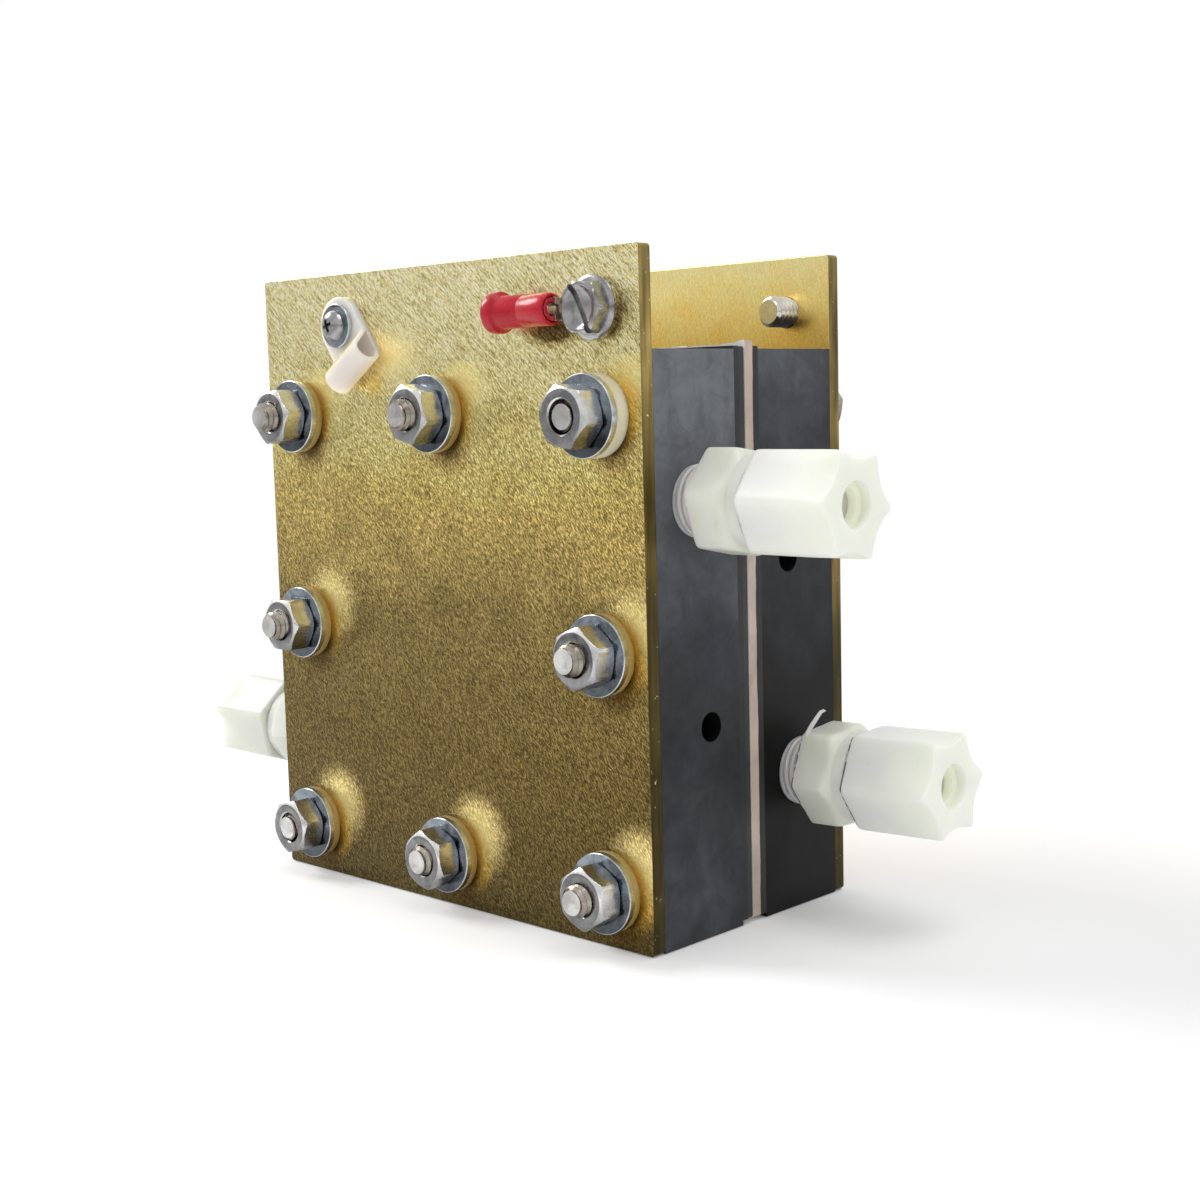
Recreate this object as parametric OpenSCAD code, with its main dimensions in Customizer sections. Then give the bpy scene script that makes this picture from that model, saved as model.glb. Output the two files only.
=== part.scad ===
// Single-cell test fixture. Two gold-plated collector plates clamp two graphite
// flow blocks, with the cell's sheets between them, by eight insulated bolts.
// X runs across the plates, Y from the front plate to the back one, Z is up.

/* [Collector plates] */
// Width of both plates and of the flow blocks
plate_w = 114.3; // [108:0.1:125]
// How far both plates stand above the flow blocks
lug_h = 19.05; // [17:0.05:40]
// Thickness of both plates
plate_t = 3.175; // [2.5:0.005:5]
// Radius of the plates' corners
plate_corner_r = 0.8; // [0.3:0.1:3]

/* [Flow blocks] */
// Height of the flow blocks
block_h = 114.3; // [110:0.1:122]
// Thickness of each flow block
block_t = 23.4; // [20:0.1:30]
// Height of each side port from the block's middle
port_rise = 28.575; // [26:0.005:32]
// Depth of the tapered bore of a side port
port_depth = 12.7; // [11:0.1:16]
// Diameter of the gallery drilled on from a side port
gallery_d = 5; // [3:0.1:6]
// Diameter of the hole that joins a gallery to the flow field
feed_d = 4; // [2.5:0.1:5]
// Diameter of the side hole for a temperature probe
probe_d = 5.9; // [4:0.1:7]
// Depth of the probe hole
probe_depth = 45; // [20:1:55]
// Distance of the probe hole from the block's middle height
probe_offset = 15.5; // [13:0.1:17]
// Distance of the probe hole from the block's inner face
probe_inset = 8.7; // [6:0.1:11]

/* [Flow field] */
// Number of runs of the serpentine channel, an odd number
run_count = 13; // [9:2:15]
// Length of each run between its round ends' centres
run_length = 62; // [56:0.5:63]
// Width of the channel
channel_w = 2.4; // [1.5:0.1:2.8]
// Depth of the channel
channel_depth = 1.8; // [1:0.1:2.5]

/* [Cell sheets] */
// Thickness of each black gasket
gasket_t = 1.6; // [1:0.1:3]
// Thickness of the frame round the front felt
frame_t = 1.6; // [1:0.1:3]
// Thickness of the membrane
membrane_t = 0.2; // [0.1:0.05:0.5]
// Thickness of the white sheet
ptfe_t = 2.4; // [1.5:0.1:3]
// Side of the square window in the sheets
window = 70; // [68:0.5:72]
// Height at which the black sheets sit above the blocks' bottom
sheet_lift = 0.8; // [0.4:0.1:1.5]
// How far the black sheets stand above the blocks' top
sheet_top = 0.6; // [0:0.1:1.5]
// How far the white sheet stands past the blocks at the top and sides
ptfe_over = 1.3; // [0.2:0.1:2]
// Gap between a felt and its window
felt_gap = 0.15; // [0.1:0.05:0.5]

/* [Tie bolts] */
// Diameter of the tie bolts
bolt_d = 6.35; // [5:0.05:7]
// Distance of the bolts from the blocks' edges
bolt_margin = 11.1; // [10:0.1:12]
// Diameter of the bolt holes in the blocks and sheets
bolt_hole_d = 8.7; // [8.7:0.1:9.5]
// How much lower the top right bolt sits than its neighbours
odd_drop = 0.9; // [0:0.1:0.9]
// Width across the flats of the nuts and bolt heads
nut_af = 11.1; // [10:0.1:12]
// Height of the nuts
nut_h = 5.56; // [4:0.01:7]
// Height of the bolt heads
head_h = 4.2; // [3:0.1:6]
// Outer diameter of the steel washers
washer_d = 15.9; // [13:0.1:17]
// Thickness of the steel washers
washer_t = 1.5; // [1:0.1:2]
// Thickness of the nylon bushes' flanges
flange_t = 1.4; // [1:0.1:3]
// Thickness of the flange of the top right bushes
odd_flange_t = 3; // [1:0.1:4]
// Outer diameter of the bushes' shoulders
shoulder_d = 9.4; // [8:0.1:10]
// Depth of the bushes' shoulders in the plates
shoulder_depth = 2.9; // [1.5:0.1:3.1]

/* [Terminals] */
// Distance of the terminal screws from the plates' top and side edges
terminal_margin = 11.1; // [9:0.1:14]
// Diameter of the terminal screws
terminal_d = 6.35; // [5:0.05:6.35]
// Length of the terminal screws under the head
terminal_len = 9.1; // [7:0.1:16]
// Diameter of the flange under the terminal screws' hex
terminal_flange_d = 12.2; // [11:0.1:12.6]
// Width across the flats of the terminal screws' hex
terminal_af = 9.5; // [8:0.1:9.8]
// Height of the terminal screws' heads with the flange
terminal_head_h = 3.8; // [3:0.1:6]
// Thickness of the ring terminal's metal
ring_t = 0.8; // [0.5:0.1:1.2]
// Outer diameter of the ring
ring_d = 11.6; // [10:0.1:12]
// Distance of the lead's axis from the plate
lead_height = 4.5; // [4.3:0.1:6]
// Distance from the screw to the near end of the red sleeve
sleeve_start = 6.8; // [6.6:0.1:9]
// Length of the red sleeve
sleeve_len = 15.8; // [12:0.1:20]
// Outer diameter of the red sleeve at its near end
sleeve_d = 5.7; // [5.4:0.1:6]
// Outer diameter of the sleeve's flared mouth
flare_d = 8.1; // [7:0.1:8.4]
// Outer diameter of the crimp barrel in the sleeve
barrel_d = 4.4; // [4:0.1:4.6]
// Length of the crimp barrel
barrel_len = 9; // [6:0.1:10]

/* [Cable clip] */
// Distance of the clip's screw from the plate's left edge
clip_from_left = 28.6; // [20:0.1:40]
// Width of the clip's strap
clip_w = 12.4; // [10:0.1:14]
// Thickness of the clip's strap
clip_t = 1; // [0.7:0.1:1.3]
// Outer diameter of the clip's loop
loop_d = 6.3; // [5:0.1:8]
// Distance from the clip's screw to the loop's middle
loop_reach = 10.2; // [9:0.1:14]
// Turn of the clip below the horizontal
clip_turn = 56; // [40:1:70]
// Diameter of the clip's screw
clip_screw_d = 3.5; // [3:0.1:4]
// Diameter of the clip screw's head
clip_head_d = 6.6; // [5.5:0.1:8]
// Height of the clip screw's head
clip_head_h = 2.3; // [1.8:0.1:3]
// Outer diameter of the clip's washer
clip_washer_d = 9.4; // [8:0.1:11]
// Thickness of the clip's washer
clip_washer_t = 0.9; // [0.5:0.1:1.2]

/* [Tube fittings] */
// Outer diameter of the tube that the fittings take, with its clearance
tube_d = 6.6; // [5:0.1:7]
// Diameter of the passage through the fittings' bodies
passage_d = 4.8; // [3:0.1:4.8]
// Diameter of the tapered thread at the block's face
thread_d = 13.6; // [12.5:0.1:14.5]
// Length of the tapered thread in the block
thread_in = 10; // [7:0.1:11]
// Length of the tapered thread that shows
thread_out = 5.7; // [3:0.1:8]
// Width across the flats of the fittings' bodies and nuts
fitting_af = 19.05; // [18:0.05:20]
// How much deeper the front lower fitting has been screwed in
deeper = 1; // [0:0.1:1.3]
// How far out of square the back lower port was tapped, so that its fitting points up
port_tilt = 2; // [0:0.1:2.5]
// Length of the body's hex
body_hex_len = 8.8; // [5:0.1:10]
// Diameter of the round collar past the body's hex
collar_d = 18.3; // [17:0.1:18.5]
// Length of the round collar
collar_len = 2.5; // [2:0.1:6]
// Length of the cap nut
cap_len = 19.8; // [18:0.1:24]
// Diameter of the wider mouth in the cap nut's end
mouth_d = 8.6; // [7.4:0.1:10]
// Depth of that mouth
mouth_depth = 2.4; // [0.5:0.1:2.8]
// Diameter of the straight thread inside the cap nut
spigot_d = 15.2; // [14:0.1:15.6]
// Depth of the hollows scooped into the flats at the nut's end
scoop_depth = 1.3; // [0.6:0.1:1.8]
// Length of the hollows along the nut
scoop_len = 4; // [2:0.1:6]
// Wall of the thread tape
tape_t = 0.15; // [0.1:0.05:0.3]

/* [Hidden] */
$fn = 64;
// Running gap round every screw, bush and thread
clearance = 0.06;
// Overrun of a cutting shape past the face that it cuts
over = 1;

// Bolts as column and row of a three by three grid whose middle is left out
BOLTS = [[-1, 1], [0, 1], [1, 1], [-1, 0], [1, 0], [-1, -1], [0, -1], [1, -1]];
// The turn at which each fitting's body and cap nut stopped
body_turn = [-11.5, 4, 15, 6];
cap_turn = [-6, -18.5, 9, 4.5];
// The top right bolt in that list
ODD = 2;
// Length of thread past each nut, and the turn at which each nut stopped
thread_past = [2.8, 2.5, -0.3, 2.8, 2.6, 0.5, 1.4, 2.3];
nut_turn = [8, 45, 48, 0, 22, 15, 38, 32];

plate_h = block_h + lug_h;
bolt_step_x = plate_w / 2 - bolt_margin;
bolt_step_z = block_h / 2 - bolt_margin;
function bolt_x(i) = BOLTS[i][0] * bolt_step_x;
function bolt_z(i) = block_h / 2 + BOLTS[i][1] * bolt_step_z - (i == ODD ? odd_drop : 0);
function flange_of(i) = i == ODD ? odd_flange_t : flange_t;
function bolt_tip(i) = flange_of(i) + washer_t + nut_h + thread_past[i];

front_reach = max([for (i = [0:len(BOLTS) - 1]) bolt_tip(i)]);
back_reach = max(flange_t, odd_flange_t) + washer_t + head_h;
stack_t = 2 * plate_t + 2 * block_t + 2 * gasket_t + frame_t + membrane_t + ptfe_t;
// The stack is placed so that the whole fixture is centred on the Z axis
front_y = (front_reach - stack_t - back_reach) / 2;
front_block_y = front_y + plate_t;
front_gasket_y = front_block_y + block_t;
frame_y = front_gasket_y + gasket_t;
membrane_y = frame_y + frame_t;
ptfe_y = membrane_y + membrane_t;
back_gasket_y = ptfe_y + ptfe_t;
back_block_y = back_gasket_y + gasket_t;
back_plate_y = back_block_y + block_t;
back_y = back_plate_y + plate_t;

gasket_h = block_h - sheet_lift + sheet_top;
ptfe_lift = sheet_lift - 0.2;
ptfe_h = block_h - ptfe_lift + ptfe_over;

terminal_x = plate_w / 2 - terminal_margin;
terminal_z = plate_h - terminal_margin;
terminal_flange_t = 1;
terminal_slot_w = 1.3;
terminal_slot_depth = 1.3;
terminal_slot_turn = 117;
clip_x = clip_from_left - plate_w / 2;

tip_chamfer = 0.75;
collar_start = thread_out + body_hex_len;
cap_start = collar_start + collar_len + 0.2;
cap_end = cap_start + cap_len;
// Taper of the pipe thread, as the change in radius per length
pipe_taper = 1 / 32;
function pipe_r(s) = thread_d / 2 + s * pipe_taper;
spigot_end = cap_start + 9.8;
seat_depth = 3;
seat_r = 5.2;
ferrule_rim = 1.6;
grip_t = 1.8;
inner_r = 6.2;
tube_stop = collar_start;

// Places a shape drawn along +Z so that it points out of the front or the back
module facing_front(x, y, z) { translate([x, y, z]) rotate([90, 0, 0]) children(); }
module facing_back(x, y, z) { translate([x, y, z]) rotate([-90, 0, 0]) children(); }

// A flat sheet that starts at y, from an outline drawn across X and Z
module upright(y, t) { translate([0, y + t, 0]) rotate([90, 0, 0]) linear_extrude(t) children(); }

// A rectangle with round corners, from its centre
module rounded(w, h, r) {
    square([w - 2 * r, h], center = true);
    square([w, h - 2 * r], center = true);
    for (sx = [-1, 1], sz = [-1, 1])
        translate([sx * (w / 2 - r), sz * (h / 2 - r)]) circle(r);
}

module bolt_circles(d) {
    for (i = [0:len(BOLTS) - 1])
        translate([bolt_x(i), bolt_z(i)]) circle(d = d);
}

// The blocks and sheets are drilled on the plain grid, wide enough for the low bolt
module grid_circles(d) {
    for (b = BOLTS)
        translate([b[0] * bolt_step_x, b[1] * bolt_step_z]) circle(d = d);
}

// A hex of a given width across flats with its corners chamfered at one or both ends
module chamfered_hex(af, h, bottom, top) {
    corner = af / sqrt(3) + 0.1;
    face = af / 2 * 0.97;
    drop = (corner - face) * tan(30);
    low = bottom ? [[0, 0], [face, 0], [corner, drop]] : [[0, 0], [corner, 0]];
    high = top ? [[corner, h - drop], [face, h], [0, h]] : [[corner, h], [0, h]];
    intersection() {
        cylinder(d = 2 * af / sqrt(3), h = h, $fn = 6);
        rotate_extrude() polygon(concat(low, high));
    }
}

module washer(od, id, t) {
    edge = 0.15;
    rotate_extrude()
        polygon([[id / 2, 0], [od / 2 - edge, 0], [od / 2, edge], [od / 2, t - edge],
                 [od / 2 - edge, t], [id / 2, t]]);
}

module collector_plate(with_clip) {
    difference() {
        translate([0, plate_h / 2]) rounded(plate_w, plate_h, plate_corner_r);
        bolt_circles(shoulder_d + 2 * clearance);
        translate([terminal_x, terminal_z]) circle(d = terminal_d + 2 * clearance);
        if (with_clip) translate([clip_x, terminal_z]) circle(d = clip_screw_d + 2 * clearance);
    }
}

module front_collector_plate() {
    color("goldenrod") upright(front_y, plate_t) collector_plate(true);
}

module back_collector_plate() {
    color("goldenrod") upright(back_plate_y, plate_t) collector_plate(false);
}

// The round-ended channel of the flow field, as runs joined at alternate ends
module serpentine() {
    pitch = 2 * port_rise / (run_count - 1);
    for (i = [0:run_count - 1])
        translate([0, (i - (run_count - 1) / 2) * pitch]) {
            square([run_length, channel_w], center = true);
            for (s = [-1, 1]) translate([s * run_length / 2, 0]) circle(d = channel_w);
            if (i < run_count - 1)
                translate([(i % 2 == 0 ? 1 : -1) * run_length / 2, pitch / 2])
                    square([channel_w, pitch], center = true);
        }
}

// One side port: tapered bore, gallery and the feed hole into the flow field
module port_bore(tilt) {
    translate([plate_w / 2, 0, port_rise]) rotate([0, tilt, 0]) rotate([90, 0, 90]) rotate_extrude()
        polygon([[0, over], [pipe_r(over) + clearance, over],
                 [pipe_r(-port_depth) + clearance, -port_depth], [0, -port_depth - 2]]);
    translate([run_length / 2, 0, port_rise]) rotate([0, 90, 0])
        cylinder(d = gallery_d, h = plate_w / 2 - run_length / 2 - port_depth + 0.5);
    translate([run_length / 2, 0, port_rise]) sphere(d = gallery_d);
    translate([run_length / 2, 0, port_rise]) rotate([-90, 0, 0])
        cylinder(d = feed_d, h = block_t / 2 - channel_depth / 2);
}

// A flow block about its own middle, with its flow field on the +Y face and its first
// port tapped out of square by the tilt
module flow_block(tilt) {
    difference() {
        translate([-plate_w / 2, -block_t / 2, -block_h / 2]) cube([plate_w, block_t, block_h]);
        translate([0, block_t / 2 + over, 0]) rotate([90, 0, 0])
            linear_extrude(block_t + 2 * over) grid_circles(bolt_hole_d);
        translate([0, block_t / 2 + over, 0]) rotate([90, 0, 0])
            linear_extrude(channel_depth + over) serpentine();
        port_bore(tilt);
        rotate([0, 180, 0]) port_bore(0);
        translate([plate_w / 2 - probe_depth, block_t / 2 - probe_inset, -probe_offset])
            rotate([0, 90, 0]) cylinder(d = probe_d, h = probe_depth + over);
    }
}

module front_flow_block() {
    color("dimgray") translate([0, front_block_y + block_t / 2, block_h / 2]) flow_block(0);
}

// The back block is the same piece turned over
module back_flow_block() {
    color("dimgray") translate([0, back_block_y + block_t / 2, block_h / 2])
        rotate([180, 0, 0]) flow_block(port_tilt);
}

module sheet_outline(w, h, lift, with_window) {
    difference() {
        translate([0, lift + h / 2]) rounded(w, h, 0.4);
        translate([0, block_h / 2]) grid_circles(bolt_hole_d);
        if (with_window) translate([0, block_h / 2]) square(window, center = true);
    }
}

module front_gasket() {
    color([0.12, 0.12, 0.12]) upright(front_gasket_y, gasket_t)
        sheet_outline(plate_w, gasket_h, sheet_lift, true);
}

module electrode_frame() {
    color([0.16, 0.16, 0.17]) upright(frame_y, frame_t)
        sheet_outline(plate_w - 0.4, gasket_h - 0.2, sheet_lift + 0.1, true);
}

module membrane() {
    color([0.8, 0.7, 0.5]) upright(membrane_y, membrane_t)
        sheet_outline(plate_w - 1.6, gasket_h - 1.6, sheet_lift + 0.8, false);
}

module ptfe_gasket() {
    color("white") upright(ptfe_y, ptfe_t)
        sheet_outline(plate_w, ptfe_h, ptfe_lift, true);
}

module back_gasket() {
    color([0.12, 0.12, 0.12]) upright(back_gasket_y, gasket_t)
        sheet_outline(plate_w, gasket_h, sheet_lift, true);
}

module felt(y, t) {
    color([0.2, 0.2, 0.2]) upright(y, t)
        translate([0, block_h / 2]) square(window - 2 * felt_gap, center = true);
}

module front_felt() { felt(front_gasket_y, gasket_t + frame_t); }
module back_felt() { felt(ptfe_y, ptfe_t + gasket_t); }

// One tie bolt along +Z from under its hex head, with a chamfered end
module tie_bolt(length) {
    rotate_extrude() polygon([[0, -0.5], [bolt_d / 2, -0.5], [bolt_d / 2, length - tip_chamfer],
                              [bolt_d / 2 - tip_chamfer, length], [0, length]]);
    mirror([0, 0, 1]) chamfered_hex(nut_af, head_h, false, true);
}

module tie_bolts() {
    color("silver") for (i = [0:len(BOLTS) - 1])
        facing_front(bolt_x(i), back_y + flange_of(i) + washer_t, bolt_z(i))
            rotate(nut_turn[(i + 3) % len(BOLTS)])
                tie_bolt(washer_t + flange_of(i) + stack_t + bolt_tip(i));
}

module tie_nut() {
    sink = 0.45;
    difference() {
        chamfered_hex(nut_af, nut_h, true, true);
        translate([0, 0, -over]) cylinder(d = bolt_d + 2 * clearance, h = nut_h + 2 * over);
        for (s = [0, 1]) translate([0, 0, s * nut_h]) mirror([0, 0, s]) rotate_extrude()
            polygon([[0, -sink], [bolt_d / 2 + 2 * sink, -sink], [bolt_d / 2, sink], [0, sink]]);
    }
}

module tie_nuts() {
    color("lightgray") for (i = [0:len(BOLTS) - 1])
        facing_front(bolt_x(i), front_y - flange_of(i) - washer_t, bolt_z(i))
            rotate(nut_turn[i]) tie_nut();
}

module front_washers() {
    color("silver") for (i = [0:len(BOLTS) - 1])
        facing_front(bolt_x(i), front_y - flange_of(i), bolt_z(i))
            washer(washer_d, bolt_d + 0.7, washer_t);
}

module back_washers() {
    color("silver") for (i = [0:len(BOLTS) - 1])
        facing_back(bolt_x(i), back_y + flange_of(i), bolt_z(i))
            washer(washer_d, bolt_d + 0.7, washer_t);
}

// A shoulder bush whose flange lies on the plate, with its shoulder pointing down
module shoulder_bush(t) {
    bore_r = bolt_d / 2 + 2 * clearance;
    rotate_extrude()
        polygon([[bore_r, -shoulder_depth], [shoulder_d / 2 - 0.2, -shoulder_depth],
                 [shoulder_d / 2, 0.2 - shoulder_depth], [shoulder_d / 2, 0],
                 [washer_d / 2, 0], [washer_d / 2, t], [bore_r, t]]);
}

module front_bushes() {
    color("ivory") for (i = [0:len(BOLTS) - 1])
        facing_front(bolt_x(i), front_y, bolt_z(i)) shoulder_bush(flange_of(i));
}

module back_bushes() {
    color("ivory") for (i = [0:len(BOLTS) - 1])
        facing_back(bolt_x(i), back_y, bolt_z(i)) shoulder_bush(flange_of(i));
}

// A slotted hex screw with a flange, from the flange's underside up +Z
module terminal_screw() {
    hex_h = terminal_head_h - terminal_flange_t;
    difference() {
        union() {
            rotate_extrude() polygon([
                [0, tip_chamfer - terminal_len - tip_chamfer],
                [terminal_d / 2 - tip_chamfer, -terminal_len],
                [terminal_d / 2, tip_chamfer - terminal_len], [terminal_d / 2, 0],
                [terminal_flange_d / 2 - 0.1, 0], [terminal_flange_d / 2, 0.4],
                [terminal_af / 2, terminal_flange_t], [0, terminal_flange_t]]);
            translate([0, 0, terminal_flange_t - 0.2]) rotate(-3)
                chamfered_hex(terminal_af, hex_h + 0.2, false, true);
        }
        translate([0, 0, terminal_head_h]) rotate_extrude()
            polygon([[0, -0.7], [terminal_af * 0.3, -0.5], [terminal_af * 0.38, 0], [0, 0.1]]);
        rotate(terminal_slot_turn)
            translate([-terminal_af, -terminal_slot_w / 2, terminal_head_h - terminal_slot_depth])
                cube([2 * terminal_af, terminal_slot_w, terminal_slot_depth + over]);
    }
}

module front_terminal_screw() {
    color("silver") facing_front(terminal_x, front_y - ring_t, terminal_z) terminal_screw();
}

module back_terminal_screw() {
    color("silver") facing_back(terminal_x, back_y, terminal_z) terminal_screw();
}

// The lead's parts are drawn from the screw, with X towards the sleeve and Z off the plate
module along_lead() {
    facing_front(terminal_x, front_y, terminal_z) mirror([1, 0, 0]) children();
}

module ring_terminal() {
    barrel_r = barrel_d / 2;
    neck = 1.1;
    riser = terminal_flange_d / 2 + 0.1;
    color("lightgray") along_lead() {
        difference() {
            union() {
                cylinder(d = ring_d, h = ring_t);
                translate([0, barrel_r, 0]) rotate([90, 0, 0]) linear_extrude(barrel_d)
                    polygon([[0, 0], [sleeve_start - 0.3, 0], [sleeve_start - 0.05, 0.4],
                             [sleeve_start - 0.05, lead_height - barrel_r + 0.5],
                             [riser, lead_height - barrel_r + 0.5], [riser, ring_t], [0, ring_t]]);
            }
            translate([0, 0, -over]) cylinder(d = terminal_d + 2 * clearance, h = ring_t + 2 * over);
        }
        translate([sleeve_start, 0, lead_height]) rotate([90, 0, 90]) difference() {
            translate([0, 0, -neck]) cylinder(r = barrel_r, h = neck + barrel_len);
            translate([0, 0, -0.1]) cylinder(r = barrel_r - ring_t, h = barrel_len + over);
            translate([0, 0, -neck - over]) cylinder(r = barrel_r - ring_t - 0.5, h = neck + 2 * over);
            translate([-barrel_d, 0.2, -neck - over]) cube([2 * barrel_d, barrel_d, neck + over - 0.1]);
        }
    }
}

module terminal_sleeve() {
    bore_r = barrel_d / 2 + clearance;
    near_r = sleeve_d / 2;
    far_r = near_r + 0.35;
    middle = sleeve_len * 0.47;
    color("crimson") along_lead() translate([sleeve_start, 0, lead_height]) rotate([90, 0, 90])
        rotate_extrude() polygon([
            [bore_r, 0.2], [bore_r + 0.2, 0], [near_r - 0.3, 0], [near_r, 0.3],
            [near_r + 0.15, middle - 0.4], [near_r - 0.05, middle], [far_r - 0.1, middle + 0.3],
            [far_r, sleeve_len - 2.4], [flare_d / 2 - 0.1, sleeve_len - 1.6],
            [flare_d / 2, sleeve_len - 1.2], [flare_d / 2 - 0.1, sleeve_len],
            [flare_d / 2 - 0.7, sleeve_len], [bore_r, sleeve_len - 3.5]]);
}

// Point where a line from p touches a circle about c, on the side given by s
function touch(p, c, r, s) =
    let (d = c - p, l = norm(d), a = atan2(d[1], d[0]) + s * asin(r / l), m = sqrt(l * l - r * r))
    p + m * [cos(a), sin(a)];

// The clip's strap and loop, drawn along its loop's axis from the screw out, with the
// plate at zero height
module clip_strap() {
    loop_r = loop_d / 2;
    c = [loop_reach, loop_r];
    bend = [clip_w / 2 - 1, 2 * clip_t];
    outer = touch(bend, c, loop_r, 1);
    nip = bend + [0.4, -clip_t];
    inner = touch(nip, c, loop_r - clip_t, 1);
    difference() {
        union() {
            translate([-clip_w / 2, 0, 0]) cube([clip_w / 2 + bend[0], 2 * clip_t, clip_w]);
            translate([-clip_w / 2, 0, 0]) cube([clip_w / 2 + loop_reach, clip_t, clip_w]);
            translate([loop_reach, loop_r, 0]) cylinder(r = loop_r, h = clip_w);
            linear_extrude(clip_w) polygon([[bend[0] - 1, clip_t / 2], [bend[0] - 1, bend[1]],
                                            bend, outer, c, [loop_reach, clip_t / 2]]);
        }
        translate([loop_reach, loop_r, -over]) cylinder(r = loop_r - clip_t, h = clip_w + 2 * over);
        translate([0, 0, -over]) linear_extrude(clip_w + 2 * over)
            polygon([nip, inner, c, [loop_reach, clip_t]]);
    }
}

module cable_clip() {
    color("mistyrose") facing_front(clip_x, front_y, terminal_z) rotate(-clip_turn) difference() {
        intersection() {
            translate([0, clip_w / 2, 0]) rotate([90, 0, 0]) clip_strap();
            union() {
                cylinder(d = clip_w, h = 2 * loop_d);
                translate([0, -clip_w, 0]) cube([2 * loop_reach, 2 * clip_w, 2 * loop_d]);
            }
        }
        translate([0, 0, -over]) cylinder(d = clip_screw_d + 0.3, h = 2 * clip_t + 2 * over);
    }
}

module clip_screw() {
    head_r = clip_head_d / 2;
    under = 2 * clip_t + clip_washer_t;
    dome_r = (head_r * head_r + clip_head_h * clip_head_h) / (2 * clip_head_h);
    color("silver") facing_front(clip_x, front_y, terminal_z) difference() {
        union() {
            translate([0, 0, -plate_t - 0.4]) cylinder(d = clip_screw_d, h = plate_t + under + 0.6);
            intersection() {
                translate([0, 0, under]) cylinder(r = head_r, h = clip_head_h);
                translate([0, 0, under + clip_head_h - dome_r]) sphere(dome_r);
            }
        }
        for (a = [20, 110]) rotate(a)
            translate([-1.9, -0.35, under + clip_head_h - 1.3]) cube([3.8, 0.7, 2]);
    }
}

module clip_washer() {
    color("silver") facing_front(clip_x, front_y - 2 * clip_t, terminal_z)
        washer(clip_washer_d, clip_screw_d + 0.3, clip_washer_t);
}

// The body's hex, with its corners cut back to the collar at the nut's side
module body_hex() {
    corner = fitting_af / sqrt(3) + 0.1;
    cut = corner - collar_d / 2;
    into = 0.4;
    intersection() {
        cylinder(d = 2 * fitting_af / sqrt(3), h = body_hex_len + 2 * into, $fn = 6);
        rotate_extrude() polygon([[0, 0], [corner, 0], [corner, body_hex_len - cut],
                                  [collar_d / 2 - into, body_hex_len + into],
                                  [0, body_hex_len + into]]);
    }
}

// A fitting's body along +Z from the block's face, with its passage and tube socket
module fitting_body(turn) {
    spigot_r = spigot_d / 2;
    difference() {
        union() {
            rotate_extrude() polygon([
                [0, -thread_in], [pipe_r(-thread_in) - 0.4, -thread_in],
                [pipe_r(-thread_in), 0.6 - thread_in], [pipe_r(thread_out), thread_out],
                [pipe_r(thread_out), collar_start], [0, collar_start]]);
            translate([0, 0, thread_out]) rotate(turn) body_hex();
            translate([0, 0, collar_start - 0.5]) cylinder(d = collar_d, h = collar_len + 0.5);
            translate([0, 0, collar_start]) cylinder(r = spigot_r, h = spigot_end - collar_start);
        }
        translate([0, 0, -thread_in - over]) cylinder(d = passage_d, h = spigot_end + thread_in);
        translate([0, 0, tube_stop]) cylinder(d = tube_d, h = spigot_end - tube_stop + over);
        translate([0, 0, spigot_end - seat_depth]) rotate_extrude()
            polygon([[0, 0], [tube_d / 2, 0], [seat_r, seat_depth], [seat_r, seat_depth + over],
                     [0, seat_depth + over]]);
    }
}

// A cap nut whose six flats end in scooped hollows, so that its end is a star
module fitting_nut(turn) {
    scoop_r = 11;
    scoop_x = fitting_af / 2 + scoop_r - scoop_depth;
    grip_end = spigot_end + ferrule_rim + grip_t;
    translate([0, 0, cap_start]) rotate(turn) difference() {
        intersection() {
            cylinder(d = 2 * fitting_af / sqrt(3), h = cap_len, $fn = 6);
            cylinder(d = 2 * fitting_af / sqrt(3) - 0.5, h = cap_len);
        }
        for (k = [0:5]) rotate(60 * k + 30) translate([scoop_x, 0, cap_len - scoop_len])
            cylinder(r1 = scoop_r - scoop_depth, r2 = scoop_r + 0.3 * scoop_depth / scoop_len * 1,
                     h = scoop_len + 0.3 * scoop_len);
        translate([0, 0, -over]) cylinder(d = spigot_d + 2 * clearance, h = spigot_end - cap_start + 0.6 + over);
        cylinder(r = inner_r + clearance, h = grip_end - cap_start + 0.2);
        translate([0, 0, grip_end - cap_start + 0.2 - 0.01])
            cylinder(r1 = inner_r - 0.4, r2 = tube_d / 2, h = 1.6);
        cylinder(d = tube_d, h = cap_len + over);
        translate([0, 0, cap_len - mouth_depth]) cylinder(d = mouth_d, h = mouth_depth + over);
    }
}

module fitting_ferrule() {
    slip = 0.15;
    z0 = spigot_end - seat_depth + slip;
    rotate_extrude() polygon([
        [tube_d / 2, z0 + 0.4], [tube_d / 2 + 0.1, z0 + 0.2], [seat_r - slip, spigot_end],
        [inner_r, spigot_end + 0.05], [inner_r, spigot_end + ferrule_rim],
        [tube_d / 2, spigot_end + ferrule_rim - 0.8]]);
}

module fitting_grip() {
    z0 = spigot_end + ferrule_rim;
    rotate_extrude() polygon([
        [tube_d / 2, z0 - 0.7], [inner_r - 0.1, z0 + 0.1], [inner_r - 0.1, z0 + grip_t],
        [tube_d / 2, z0 + grip_t]]);
}

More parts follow.
